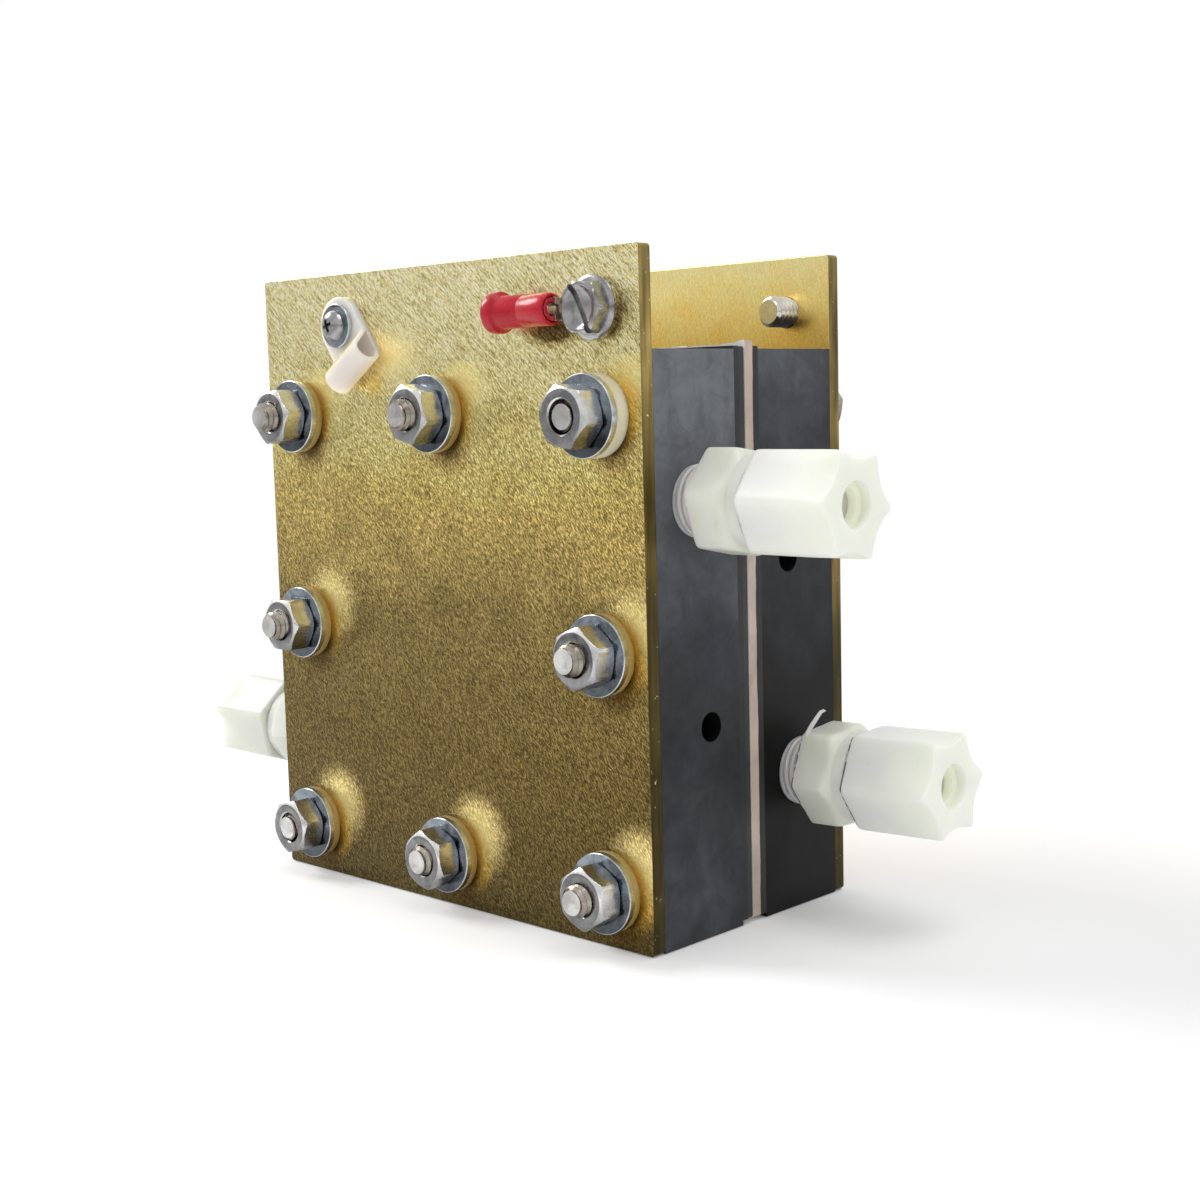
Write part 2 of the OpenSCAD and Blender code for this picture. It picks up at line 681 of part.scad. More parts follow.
// Places a fitting's piece at a port: side 1 is right, -1 left, sunk is how far it has
// been screwed in past the others, and tilt is how far it points up
module at_port(side, block_y, rise, sunk, tilt) {
    mirror([side > 0 ? 0 : 1, 0, 0])
        translate([plate_w / 2, block_y + block_t / 2, block_h / 2 + rise * port_rise])
            rotate([0, -tilt, 0]) translate([-sunk, 0, 0]) rotate([90, 0, 90]) children();
}

module front_upper() { at_port(1, front_block_y, 1, 0, 0) children(); }
module front_lower() { at_port(-1, front_block_y, -1, deeper, 0) children(); }
module back_upper() { at_port(-1, back_block_y, 1, 0, 0) children(); }
module back_lower() { at_port(1, back_block_y, -1, 0, port_tilt) children(); }

// The tape's turns between the block and the body's hex
module tape_ring(sunk, tilt) {
    low = sunk + 0.15 + thread_d / 2 * sin(1.1 * tilt);
    high = thread_out - 0.2;
    rotate_extrude() polygon([
        [pipe_r(low), low], [pipe_r(low) + tape_t, low],
        [pipe_r(high) + tape_t, high], [pipe_r(high), high]]);
}

module thread_tape() {
    color("mistyrose") {
        front_upper() tape_ring(0, 0);
        front_lower() tape_ring(deeper, 0);
        back_upper() tape_ring(0, 0);
        back_lower() tape_ring(0, port_tilt);
    }
}

front_collector_plate();
back_collector_plate();
front_flow_block();
back_flow_block();
front_gasket();
electrode_frame();
membrane();
ptfe_gasket();
back_gasket();
front_felt();
back_felt();
tie_bolts();
tie_nuts();
front_washers();
back_washers();
front_bushes();
back_bushes();
front_terminal_screw();
back_terminal_screw();
ring_terminal();
terminal_sleeve();
cable_clip();
clip_screw();
clip_washer();
color("honeydew") front_upper() fitting_body(body_turn[0]);  // front_upper_body
color("honeydew") front_upper() fitting_nut(cap_turn[0]);  // front_upper_nut
color("white") front_upper() fitting_ferrule();  // front_upper_ferrule
color("white") front_upper() fitting_grip();  // front_upper_grip
color("honeydew") front_lower() fitting_body(body_turn[1]);  // front_lower_body
color("honeydew") front_lower() fitting_nut(cap_turn[1]);  // front_lower_nut
color("white") front_lower() fitting_ferrule();  // front_lower_ferrule
color("white") front_lower() fitting_grip();  // front_lower_grip
color("honeydew") back_upper() fitting_body(body_turn[2]);  // back_upper_body
color("honeydew") back_upper() fitting_nut(cap_turn[2]);  // back_upper_nut
color("white") back_upper() fitting_ferrule();  // back_upper_ferrule
color("white") back_upper() fitting_grip();  // back_upper_grip
color("honeydew") back_lower() fitting_body(body_turn[3]);  // back_lower_body
color("honeydew") back_lower() fitting_nut(cap_turn[3]);  // back_lower_nut
color("white") back_lower() fitting_ferrule();  // back_lower_ferrule
color("white") back_lower() fitting_grip();  // back_lower_grip
thread_tape();
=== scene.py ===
import math

import bmesh
import bpy
from mathutils import Matrix, Vector, noise


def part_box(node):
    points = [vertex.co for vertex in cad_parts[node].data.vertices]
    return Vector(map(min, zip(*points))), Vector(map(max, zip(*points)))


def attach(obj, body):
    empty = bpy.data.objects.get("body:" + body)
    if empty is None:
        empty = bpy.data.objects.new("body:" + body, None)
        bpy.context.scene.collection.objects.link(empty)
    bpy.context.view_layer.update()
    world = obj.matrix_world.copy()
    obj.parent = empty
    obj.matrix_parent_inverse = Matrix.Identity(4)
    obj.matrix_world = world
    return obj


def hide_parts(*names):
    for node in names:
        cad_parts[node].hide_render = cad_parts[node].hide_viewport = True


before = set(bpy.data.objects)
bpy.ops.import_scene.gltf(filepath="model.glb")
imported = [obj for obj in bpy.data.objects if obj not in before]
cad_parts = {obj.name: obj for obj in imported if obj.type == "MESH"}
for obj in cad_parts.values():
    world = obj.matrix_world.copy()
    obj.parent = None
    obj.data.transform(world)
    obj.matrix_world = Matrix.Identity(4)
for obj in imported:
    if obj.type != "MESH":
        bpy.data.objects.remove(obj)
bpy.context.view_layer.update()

MM = 0.001

# Sizes in millimetres
PLATE_W = 114.3
PLATE_H = 133.35
BLOCK_H = 114.3
BLOCK_T = 23.4
PORT_RISE = 28.575
BOLT_MARGIN = 11.1
BOLT_R = 3.17
BOLT_PITCH = 1.27
WASHER_T = 1.5
NUT_H = 5.56

# Faces of the stack along Y, read from the solids
FRONT_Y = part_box("front_collector_plate")[0].y / MM
BACK_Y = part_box("back_collector_plate")[1].y / MM
FRONT_BLOCK_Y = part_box("front_flow_block")[0].y / MM
BACK_BLOCK_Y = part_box("back_flow_block")[0].y / MM
TERMINAL_X = PLATE_W / 2 - BOLT_MARGIN
TERMINAL_Z = PLATE_H - BOLT_MARGIN


# ---------------------------------------------------------------- mesh helpers

def finish_piece(name, bm, material, nodes=(), smooth=40):
    """Turns a bmesh drawn in millimetres into a piece that rides on the fixture."""
    bmesh.ops.scale(bm, vec=(MM, MM, MM), verts=bm.verts)
    mesh = bpy.data.meshes.new(name)
    bm.to_mesh(mesh)
    bm.free()
    for face in mesh.polygons:
        face.use_smooth = True
    mesh.set_sharp_from_angle(angle=math.radians(smooth))
    mesh.materials.append(material)
    piece = bpy.data.objects.new(name, mesh)
    bpy.context.scene.collection.objects.link(piece)
    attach(piece, "root")
    if nodes:
        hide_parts(*nodes)
    return piece


def solid_copy(node):
    """A merged copy of a CAD node, in millimetres, with its flat faces made whole."""
    bm = bmesh.new()
    bm.from_mesh(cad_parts[node].data)
    bmesh.ops.scale(bm, vec=(1 / MM, 1 / MM, 1 / MM), verts=bm.verts)
    bmesh.ops.remove_doubles(bm, verts=bm.verts, dist=0.002)
    bmesh.ops.dissolve_limit(bm, angle_limit=math.radians(1.0), verts=bm.verts, edges=bm.edges)
    return bm


def soften(piece, width, segments=2, angle=32):
    """Rounds a hard-edged piece's edges."""
    bevel = piece.modifiers.new("Softened edges", "BEVEL")
    bevel.width = width * MM
    bevel.segments = segments
    bevel.limit_method = "ANGLE"
    bevel.angle_limit = math.radians(angle)
    bevel.harden_normals = True
    return piece


def turned(points, steps=64):
    """A closed turned form about Z from (radius, height) points."""
    bm = bmesh.new()
    verts = [bm.verts.new((r, 0, z)) for r, z in points]
    edges = [bm.edges.new(pair) for pair in zip(verts, verts[1:])]
    bmesh.ops.spin(bm, geom=verts + edges, cent=(0, 0, 0), axis=(0, 0, 1), angle=2 * math.pi,
                   steps=steps, use_merge=True)
    bmesh.ops.remove_doubles(bm, verts=bm.verts, dist=0.001)
    bmesh.ops.recalc_face_normals(bm, faces=bm.faces)
    return bm


def cut_flat(bm, point, outward):
    """Cuts away what lies past a plane and closes the cut."""
    cut = bmesh.ops.bisect_plane(bm, geom=bm.verts[:] + bm.edges[:] + bm.faces[:], dist=0.0005,
                                 plane_co=point, plane_no=outward, clear_outer=True)
    rim = [e for e in cut["geom_cut"] if isinstance(e, bmesh.types.BMEdge)]
    bmesh.ops.edgeloop_fill(bm, edges=rim)


def threaded_rod(radius, pitch, low, high, taper=0.75, depth=0.6, steps=30, cone=0.0):
    """A rod along Z with a cut thread and a chamfered upper end."""
    root = radius - depth * pitch
    turns = int(math.ceil((high - low) / pitch)) + 2
    bm = bmesh.new()
    profile = [(root, 0), (root, 0.12), (radius, 0.44), (radius, 0.56), (root, 0.88), (root, 1)]
    verts = [bm.verts.new((r, 0, low - pitch + z * pitch)) for r, z in profile]
    edges = [bm.edges.new(pair) for pair in zip(verts, verts[1:])]
    bmesh.ops.spin(bm, geom=verts + edges, cent=(0, 0, 0), axis=(0, 0, 1),
                   dvec=(0, 0, pitch / steps), angle=2 * math.pi * turns, steps=turns * steps)
    bmesh.ops.remove_doubles(bm, verts=bm.verts, dist=0.001)
    for v in bm.verts:
        r = math.hypot(v.co.x, v.co.y)
        most = radius - taper + max(0.0, high - v.co.z) if taper else radius
        grow = cone * (v.co.z - low)
        k = (min(r, most) + grow) / r
        v.co.x *= k
        v.co.y *= k
    cut_flat(bm, (0, 0, high), (0, 0, 1))
    cut_flat(bm, (0, 0, low), (0, 0, -1))
    bmesh.ops.recalc_face_normals(bm, faces=bm.faces)
    return bm


def round_at(r):
    """The radius function of a round ring."""
    return lambda angle: r


def lofted(sections, steps=96):
    """A form along Z through rings; each ring is (height, radius function of the angle)."""
    bm = bmesh.new()
    start = bmesh.ops.create_circle(bm, segments=steps, radius=1.0)
    ring = start["verts"]
    edges = [e for e in bm.edges]
    for number, (height, radius) in enumerate(sections):
        if number:
            grown = bmesh.ops.extrude_edge_only(bm, edges=edges)["geom"]
            ring = [g for g in grown if isinstance(g, bmesh.types.BMVert)]
            edges = [g for g in grown if isinstance(g, bmesh.types.BMEdge)]
            edges = [e for e in edges if all(v in set(ring) for v in e.verts)]
        for v in ring:
            a = math.atan2(v.co.y, v.co.x)
            r = radius(a)
            v.co = (r * math.cos(a), r * math.sin(a), height)
    bmesh.ops.remove_doubles(bm, verts=bm.verts, dist=0.0005)
    bmesh.ops.holes_fill(bm, edges=bm.edges[:])
    bmesh.ops.recalc_face_normals(bm, faces=bm.faces)
    return bm


def carved(bm, *cutters):
    """The bmesh with each cutter's shape taken out of it."""
    mesh = bpy.data.meshes.new("uncut")
    bm.to_mesh(mesh)
    bm.free()
    body = bpy.data.objects.new("uncut", mesh)
    bpy.context.scene.collection.objects.link(body)
    tools = []
    for cutter in cutters:
        tool_mesh = bpy.data.meshes.new("cutter")
        cutter.to_mesh(tool_mesh)
        cutter.free()
        tool = bpy.data.objects.new("cutter", tool_mesh)
        bpy.context.scene.collection.objects.link(tool)
        cut = body.modifiers.new("Cut", "BOOLEAN")
        cut.operation = "DIFFERENCE"
        cut.solver = "EXACT"
        cut.object = tool
        tools.append(tool)
    bpy.context.view_layer.update()
    shape = body.evaluated_get(bpy.context.evaluated_depsgraph_get())
    result = bmesh.new()
    result.from_mesh(shape.to_mesh())
    shape.to_mesh_clear()
    for thing in [body] + tools:
        data = thing.data
        bpy.data.objects.remove(thing)
        bpy.data.meshes.remove(data)
    bmesh.ops.remove_doubles(result, verts=result.verts, dist=0.001)
    return result


def box_shape(low, high):
    """A box between two corners."""
    bm = bmesh.new()
    bmesh.ops.create_cube(bm, size=1.0)
    size = [b - a for a, b in zip(low, high)]
    bmesh.ops.scale(bm, vec=size, verts=bm.verts)
    bmesh.ops.translate(bm, vec=[(a + b) / 2 for a, b in zip(low, high)], verts=bm.verts)
    return bm


def second_finish(piece, material, chosen):
    """Gives the faces that a test picks a second material."""
    piece.data.materials.append(material)
    number = len(piece.data.materials) - 1
    for face in piece.data.polygons:
        if chosen(face.center / MM, face.normal):
            face.material_index = number
    return piece


def merge_into(target, part):
    """Adds one bmesh to another and frees it."""
    mesh = bpy.data.meshes.new("joined")
    part.to_mesh(mesh)
    part.free()
    target.from_mesh(mesh)
    bpy.data.meshes.remove(mesh)


def spun(bm, degrees):
    """The bmesh turned about Z."""
    bmesh.ops.rotate(bm, cent=(0, 0, 0), matrix=Matrix.Rotation(math.radians(degrees), 3, "Z"),
                     verts=bm.verts)
    return bm


def placed(bm, where):
    """The bmesh moved by a matrix, which may mirror it."""
    bmesh.ops.transform(bm, matrix=where, verts=bm.verts)
    if where.determinant() < 0:
        bmesh.ops.reverse_faces(bm, faces=bm.faces)
    return bm


def facing_front(x, y, z):
    """Stands a form drawn along Z on a point, towards the front."""
    return Matrix.Translation((x, y, z)) @ Matrix.Rotation(math.radians(90), 4, "X")


def facing_back(x, y, z):
    """Stands a form drawn along Z on a point, towards the back."""
    return Matrix.Translation((x, y, z)) @ Matrix.Rotation(math.radians(-90), 4, "X")


# ---------------------------------------------------------------- shader helpers

class Nodes:
    """A node tree with short ways to add and join nodes."""

    def __init__(self, tree):
        self.tree = tree

    def add(self, kind, values=None, **settings):
        node = self.tree.nodes.new(kind)
        for key, value in settings.items():
            setattr(node, key, value)
        for key, value in (values or {}).items():
            if isinstance(value, bpy.types.NodeSocket):
                self.tree.links.new(value, node.inputs[key])
            else:
                node.inputs[key].default_value = value
        return node

    def join(self, source, target):
        self.tree.links.new(source, target)

    def ramp(self, fac, stops):
        """Tones by place; a single number stands for a grey."""
        node = self.add("ShaderNodeValToRGB", {"Fac": fac})
        ramp = node.color_ramp
        while len(ramp.elements) < len(stops):
            ramp.elements.new(0.5)
        for element, (place, colour) in zip(ramp.elements, stops):
            element.position = place
            if not isinstance(colour, (tuple, list)):
                colour = (colour, colour, colour)
            element.color = (*colour, 1)
        return node.outputs["Color"]

    def maths(self, operation, a, b=0.5):
        return self.add("ShaderNodeMath", {0: a, 1: b}, operation=operation).outputs[0]

    def axes(self, vector):
        return self.add("ShaderNodeSeparateXYZ", {0: vector}).outputs

    def noise(self, vector, scale, detail=2.0, roughness=0.5, distortion=0.0):
        return self.add("ShaderNodeTexNoise", {"Vector": vector, "Scale": scale, "Detail": detail,
                                               "Roughness": roughness,
                                               "Distortion": distortion}).outputs["Fac"]

    def spread(self, value, low, high, least=0.0, most=1.0, smooth=False):
        """Carries one range onto another and holds it at the ends."""
        return self.add("ShaderNodeMapRange", {"Value": value, "From Min": low, "From Max": high,
                                               "To Min": least, "To Max": most},
                        interpolation_type="SMOOTHSTEP" if smooth else "LINEAR").outputs[0]

    def blend(self, fac, a, b, mode="MIX"):
        node = self.add("ShaderNodeMix", data_type="RGBA", blend_type=mode)
        for socket, value in ((node.inputs[0], fac), (node.inputs[6], a), (node.inputs[7], b)):
            if isinstance(value, bpy.types.NodeSocket):
                self.join(value, socket)
            elif isinstance(value, (tuple, list)):
                socket.default_value = (*value, 1)
            else:
                socket.default_value = value
        return node.outputs[2]


def new_group(name, inputs, outputs):
    """A node group with its sockets, returned with its tree's ends."""
    group = bpy.data.node_groups.new(name, "ShaderNodeTree")
    for label, kind, value in inputs:
        socket = group.interface.new_socket(name=label, in_out="INPUT", socket_type=kind)
        if value is not None:
            socket.default_value = value
    for label, kind in outputs:
        group.interface.new_socket(name=label, in_out="OUTPUT", socket_type=kind)
    n = Nodes(group)
    return n, n.add("NodeGroupInput").outputs, n.add("NodeGroupOutput").inputs


def smudge_group():
    """Soft blotches and fine pores for handled or machined surfaces."""
    n, given, out = new_group(
        "Smudges",
        [("Vector", "NodeSocketVector", None), ("Blotch Size", "NodeSocketFloat", 60.0),
         ("Pore Size", "NodeSocketFloat", 1500.0)],
        [("Blotch", "NodeSocketFloat"), ("Pores", "NodeSocketFloat"), ("Wipe", "NodeSocketFloat")])
    drawn = n.add("ShaderNodeMapping", {"Vector": given["Vector"], "Scale": (1.0, 1.0, 0.12)})
    n.join(n.noise(given["Vector"], given["Blotch Size"], 5.0, 0.55, 0.6), out["Blotch"])
    n.join(n.noise(given["Vector"], given["Pore Size"]), out["Pores"])
    n.join(n.noise(drawn.outputs[0], 300.0, 4.0), out["Wipe"])
    return n.tree


SMUDGES = smudge_group()


def new_material(name, values):
    """A material with a Principled shader, returned with its tree and object coordinates."""
    material = bpy.data.materials.new(name)
    material.use_nodes = True
    tree = material.node_tree
    tree.nodes.clear()
    n = Nodes(tree)
    shader = n.add("ShaderNodeBsdfPrincipled", values)
    n.join(shader.outputs[0], n.add("ShaderNodeOutputMaterial").inputs["Surface"])
    where = n.add("ShaderNodeTexCoord").outputs["Object"]
    return material, n, shader.inputs, where


def use_group(n, group, where, **values):
    """The outputs of a group fed with coordinates and plain values."""
    node = n.add("ShaderNodeGroup", node_tree=group)
    n.join(where, node.inputs["Vector"])
    for key, value in values.items():
        node.inputs[key.replace("_", " ")].default_value = value
    return node.outputs


def bump(n, height, strength, distance):
    return n.add("ShaderNodeBump", {"Height": height, "Strength": strength,
                                    "Distance": distance}).outputs["Normal"]


def drawn_noise(n, where, turn, stretch, scale, detail=2.0, roughness=0.6):
    """Noise drawn out into strokes that lean by the given turn in the XZ plane."""
    leaned = n.add("ShaderNodeMapping", {"Vector": where, "Rotation": (0, math.radians(turn), 0)},
                   vector_type="POINT")
    long = n.add("ShaderNodeVectorMath", {0: leaned.outputs[0], 1: (1.0, 1.0, stretch)},
                 operation="MULTIPLY")
    return n.noise(long.outputs[0], scale, detail, roughness)


# In metres: the bolts' grid and the height above which no painted light or shade round a bolt reaches
# the plate
BLOCK_MIDDLE = BLOCK_H / 2 * MM
HALF_SPACING = (PLATE_W / 2 - BOLT_MARGIN) / 2 * MM
PAINTED_LIGHT_TOP = 0.1135


def bolt_grid(n, where, shift_x, shift_z):
    """Distances along X and Z from a point beside the nearest bolt of the three by three grid."""
    axes = n.axes(where)
    gaps = []
    for socket, middle, shift in ((axes["X"], 0.0, shift_x), (axes["Z"], BLOCK_MIDDLE, shift_z)):
        off = n.maths("SUBTRACT", socket, middle + shift)
        wrapped = n.add("ShaderNodeMath", {0: off, 1: HALF_SPACING, 2: -HALF_SPACING},
                        operation="WRAP")
        gaps.append(wrapped.outputs[0])
    return gaps


def near_bolts(n, where, shift_x, shift_z, reach):
    """One at a point beside each bolt, fading to nothing at the reach."""
    gaps = [n.maths("POWER", gap, 2.0) for gap in bolt_grid(n, where, shift_x, shift_z)]
    far = n.maths("SQRT", n.maths("ADD", gaps[0], gaps[1]))
    near = n.spread(far, reach, 0.0, smooth=True)
    axes = n.axes(where)
    below_top = n.maths("LESS_THAN", axes["Z"], PAINTED_LIGHT_TOP)
    off_z = n.maths("ABSOLUTE", n.maths("SUBTRACT", axes["Z"], BLOCK_MIDDLE))
    middle = n.maths("MULTIPLY", n.maths("LESS_THAN", n.maths("ABSOLUTE", axes["X"]), HALF_SPACING),
                     n.maths("LESS_THAN", off_z, HALF_SPACING))
    keep = n.maths("SUBTRACT", 1.0, middle)
    return n.maths("MULTIPLY", n.maths("MULTIPLY", near, below_top), keep)


def near_spot(n, where, x, z, wide, high):
    """One at a point of the plate's face, fading to nothing at an oval's outline."""
    axes = n.axes(where)
    squares = []
    for socket, middle, reach in ((axes["X"], x, wide), (axes["Z"], z, high)):
        off = n.maths("DIVIDE", n.maths("SUBTRACT", socket, middle * MM), reach * MM)
        squares.append(n.maths("POWER", off, 2.0))
    far = n.maths("SQRT", n.maths("ADD", *squares))
    return n.spread(far, 1.0, 0.0, smooth=True)


def plate_rise(n, where):
    """Height on a plate, from zero at its foot to one at its top."""
    return n.maths("DIVIDE", n.axes(where)["Z"], PLATE_H * MM)


def gold_plate(name, tones, grain_turn, contrast, paints_bolt_light):
    """Rubbed gold plate: crossing scratches, cloudy tones by height as painted shade, and if asked
    painted light and shadow round the bolts.
    """
    material, n, shader, where = new_material(name, {"Metallic": 1.0})
    strokes = drawn_noise(n, where, grain_turn, 0.2, 8600.0, 3.0, 0.7)
    crossing = drawn_noise(n, where, grain_turn - 14, 0.12, 6800.0, 1.0, 0.5)
    grain = n.maths("ADD", n.maths("MULTIPLY", strokes, 0.65), n.maths("MULTIPLY", crossing, 0.35))
    cloud = n.noise(where, 75.0, 7.0, 0.7)
    rise = plate_rise(n, where)
    level = n.maths("ADD", rise, n.maths("MULTIPLY", n.maths("SUBTRACT", cloud, 0.5), 0.3))
    # The tones run dark at the foot and bright at the top: painted shade below, painted light above.
    tone = n.ramp(level, tones)
    low, high = 1.0 - 0.6 * contrast, 1.0 + 1.7 * contrast
    bright = n.ramp(grain, [(0.41, low), (0.50, 1.0 - 0.14 * contrast), (0.57, high)])
    long_marks = drawn_noise(n, where, grain_turn + 6, 0.03, 6200.0, 2.0, 0.55)
    upper = n.maths("MULTIPLY", n.ramp(rise, [(0.55, 0.0), (0.85, 1.0)]), contrast)
    marked = n.ramp(long_marks, [(0.41, 0.58), (0.5, 0.95), (0.58, 1.42)])
    lines = n.blend(upper, (1.0, 1.0, 1.0), marked)
    bright = n.blend(1.0, bright, lines, "MULTIPLY")
    if paints_bolt_light:
        # Painted light: a pale pool above and right of each bolt, and one below the clip.
        lit = near_bolts(n, where, 0.0085, 0.0050, 0.0105)
        tone = n.blend(n.maths("MULTIPLY", lit, 0.95), tone, (1.0, 0.78, 0.32))
        clip_lit = near_spot(n, where, -13, 115, 14, 10)
        tone = n.blend(clip_lit, tone, (1.0, 0.82, 0.40))
        # Painted amber glow beside each bolt's bush and beside the clip.
        amber = near_bolts(n, where, 0.0045, 0.0, 0.0115)
        clip_amber = n.maths("MULTIPLY", 0.55, near_spot(n, where, -19.5, 109.5, 6, 4.5))
        amber = n.maths("MAXIMUM", amber, clip_amber)
        tone = n.blend(n.ramp(amber, [(0.15, 0.0), (0.75, 0.82)]), tone, (0.72, 0.41, 0.055))
        # Painted shadow below and right of each washer, and beside the terminal's flange and sleeve.
        shade = near_bolts(n, where, 0.0030, -0.0048, 0.0105)
        for off_x, off_z, wide, tall in ((3.0, -1.5, 8.5, 8.5), (-11, -4, 13, 4.5)):
            spot = near_spot(n, where, TERMINAL_X + off_x, TERMINAL_Z + off_z, wide, tall)
            shade = n.maths("MAXIMUM", shade, spot)
        tone = n.blend(n.ramp(shade, [(0.12, 0.0), (0.75, 0.93)]), tone, (0.05, 0.028, 0.006))
        # The grain fades where the painted light and glow lie.
        painted_light_mask = n.maths("MAXIMUM", n.maths("MAXIMUM", lit, amber), clip_lit)
        bright = n.blend(n.maths("MULTIPLY", painted_light_mask, 0.85), bright, (1.0, 1.0, 1.0))
    n.join(n.blend(1.0, tone, bright, "MULTIPLY"), shader["Base Color"])
    n.join(n.ramp(grain, [(0.38, 0.44), (0.6, 0.26)]), shader["Roughness"])
    n.join(bump(n, grain, 0.6 * contrast, 0.00003), shader["Normal"])
    return material


def gold_edge():
    """The sawn edge of a plate: dull olive gold with bright nicks, darker towards the foot as painted
    shade.
    """
    material, n, shader, where = new_material("Sawn gold edge", {"Metallic": 1.0})
    streak = n.add("ShaderNodeMapping", {"Vector": where, "Scale": (1.0, 1.0, 0.06)})
    sawn = n.noise(streak.outputs[0], 900.0, 3.0)
    patch = n.noise(where, 38.0, 3.0)
    tone = n.ramp(patch, [(0.35, (0.22, 0.165, 0.055)), (0.55, (0.40, 0.30, 0.10)),
                          (0.68, (0.78, 0.56, 0.20))])
    tone = n.blend(1.0, tone, n.ramp(sawn, [(0.35, 0.65), (0.65, 1.15)]), "MULTIPLY")
    # Painted shade: the edge darkens towards the plate's foot.
    height_shade = n.ramp(plate_rise(n, where), [(0.05, 0.16), (0.5, 0.35), (0.9, 0.95)])
    tone = n.blend(1.0, tone, height_shade, "MULTIPLY")
    nicks = n.noise(where, 520.0, 4.0, 0.75)
    n.join(n.blend(n.ramp(nicks, [(0.66, 0.0), (0.70, 1.0)]), tone, (1.0, 0.86, 0.52)),
           shader["Base Color"])
    n.join(n.ramp(sawn, [(0.3, 0.30), (0.7, 0.42)]), shader["Roughness"])
    n.join(bump(n, nicks, 0.35, 0.0001), shader["Normal"])
    return material


def graphite():
    """Machined graphite with a painted blue-grey sheen near the top, and painted shade lower down, on
    the back block and away from its outer side faces, as in its bores.
    """
    material, n, shader, where = new_material("Machined graphite", {"Specular IOR Level": 0.18})
    smudge = use_group(n, SMUDGES, where, Blotch_Size=42.0, Pore_Size=2600.0)
    axes = n.axes(where)
    # Painted shade: the back block is darker and the blocks darken towards their foot; the blue-grey
    # near the top is a painted sheen.
    rear_shade = n.spread(axes["Y"], 0.0, 0.004)
    least = n.maths("SUBTRACT", 0.42, n.maths("MULTIPLY", rear_shade, 0.42))
    rise = n.maths("MAXIMUM", n.maths("DIVIDE", axes["Z"], BLOCK_H * MM), least)
    level = n.maths("ADD", n.maths("MULTIPLY", smudge["Blotch"], 0.7), rise)
    level = n.maths("SUBTRACT", level, n.maths("ADD", 0.35, n.maths("MULTIPLY", rear_shade, 0.36)))
    base = n.ramp(level, [(0.0, (0.003, 0.003, 0.0035)), (0.42, (0.034, 0.037, 0.042)),
                          (0.95, (0.15, 0.162, 0.178))])
    wiped = n.ramp(smudge["Wipe"], [(0.42, 0.95), (0.68, 1.06)])
    mottle = n.noise(where, 190.0, 7.0, 0.72, 0.8)
    wiped = n.blend(1.0, wiped, n.ramp(mottle, [(0.36, 0.80), (0.52, 1.0), (0.68, 1.22)]), "MULTIPLY")
    # Painted shade: nearly black everywhere but the outer side faces, as in the bores.
    off_side_shade = n.maths("LESS_THAN", n.maths("ABSOLUTE", axes["X"]), (PLATE_W / 2 - 0.05) * MM)
    base = n.blend(n.maths("MULTIPLY", off_side_shade, 0.9), n.blend(1.0, base, wiped, "MULTIPLY"),
                   (0.002, 0.002, 0.002))
    n.join(base, shader["Base Color"])
    n.join(n.ramp(smudge["Blotch"], [(0.3, 0.38), (0.7, 0.55)]), shader["Roughness"])
    n.join(bump(n, smudge["Pores"], 0.2, 0.00004), shader["Normal"])
    return material


def soft_sheet(name, dark, light, roughness, pore=1800.0, lift=0.2):
    """A matt sheet, blotched between two tones, with fine pores."""
    material, n, shader, where = new_material(name, {"Roughness": roughness})
    smudge = use_group(n, SMUDGES, where, Blotch_Size=90.0, Pore_Size=pore)
    n.join(n.ramp(smudge["Blotch"], [(0.3, dark), (0.7, light)]), shader["Base Color"])
    n.join(bump(n, smudge["Pores"], lift, 0.00005), shader["Normal"])
    return material


def bright_steel(name, colour, dim, low, high, fineness=700.0, painted_shading=0.0):
    """Turned or plated steel with soft stains and fine tool marks; if asked, painted shade on the side
    below a bolt and painted light on the side above it.
    """
    material, n, shader, where = new_material(name, {"Metallic": 1.0})
    smudge = use_group(n, SMUDGES, where, Blotch_Size=260.0, Pore_Size=fineness)
    tone = n.ramp(smudge["Blotch"], [(0.32, dim), (0.62, colour)])
    if painted_shading:
        # Painted shade on the side below each bolt and painted light on the side above it.
        gap = bolt_grid(n, where, 0.0, 0.0)
        lean = n.maths("ADD", gap[1], n.maths("MULTIPLY", gap[0], 0.35))
        upper = n.spread(lean, -0.005, 0.0045, 1.0 - painted_shading, 1.0 + 0.6 * painted_shading, smooth=True)
        grey = n.add("ShaderNodeCombineXYZ", {0: upper, 1: upper, 2: upper})
        tone = n.blend(1.0, tone, grey.outputs[0], "MULTIPLY")
    n.join(tone, shader["Base Color"])
    n.join(n.ramp(smudge["Pores"], [(0.3, low), (0.7, high)]), shader["Roughness"])
    n.join(bump(n, smudge["Pores"], 0.12, 0.00003), shader["Normal"])
    return material


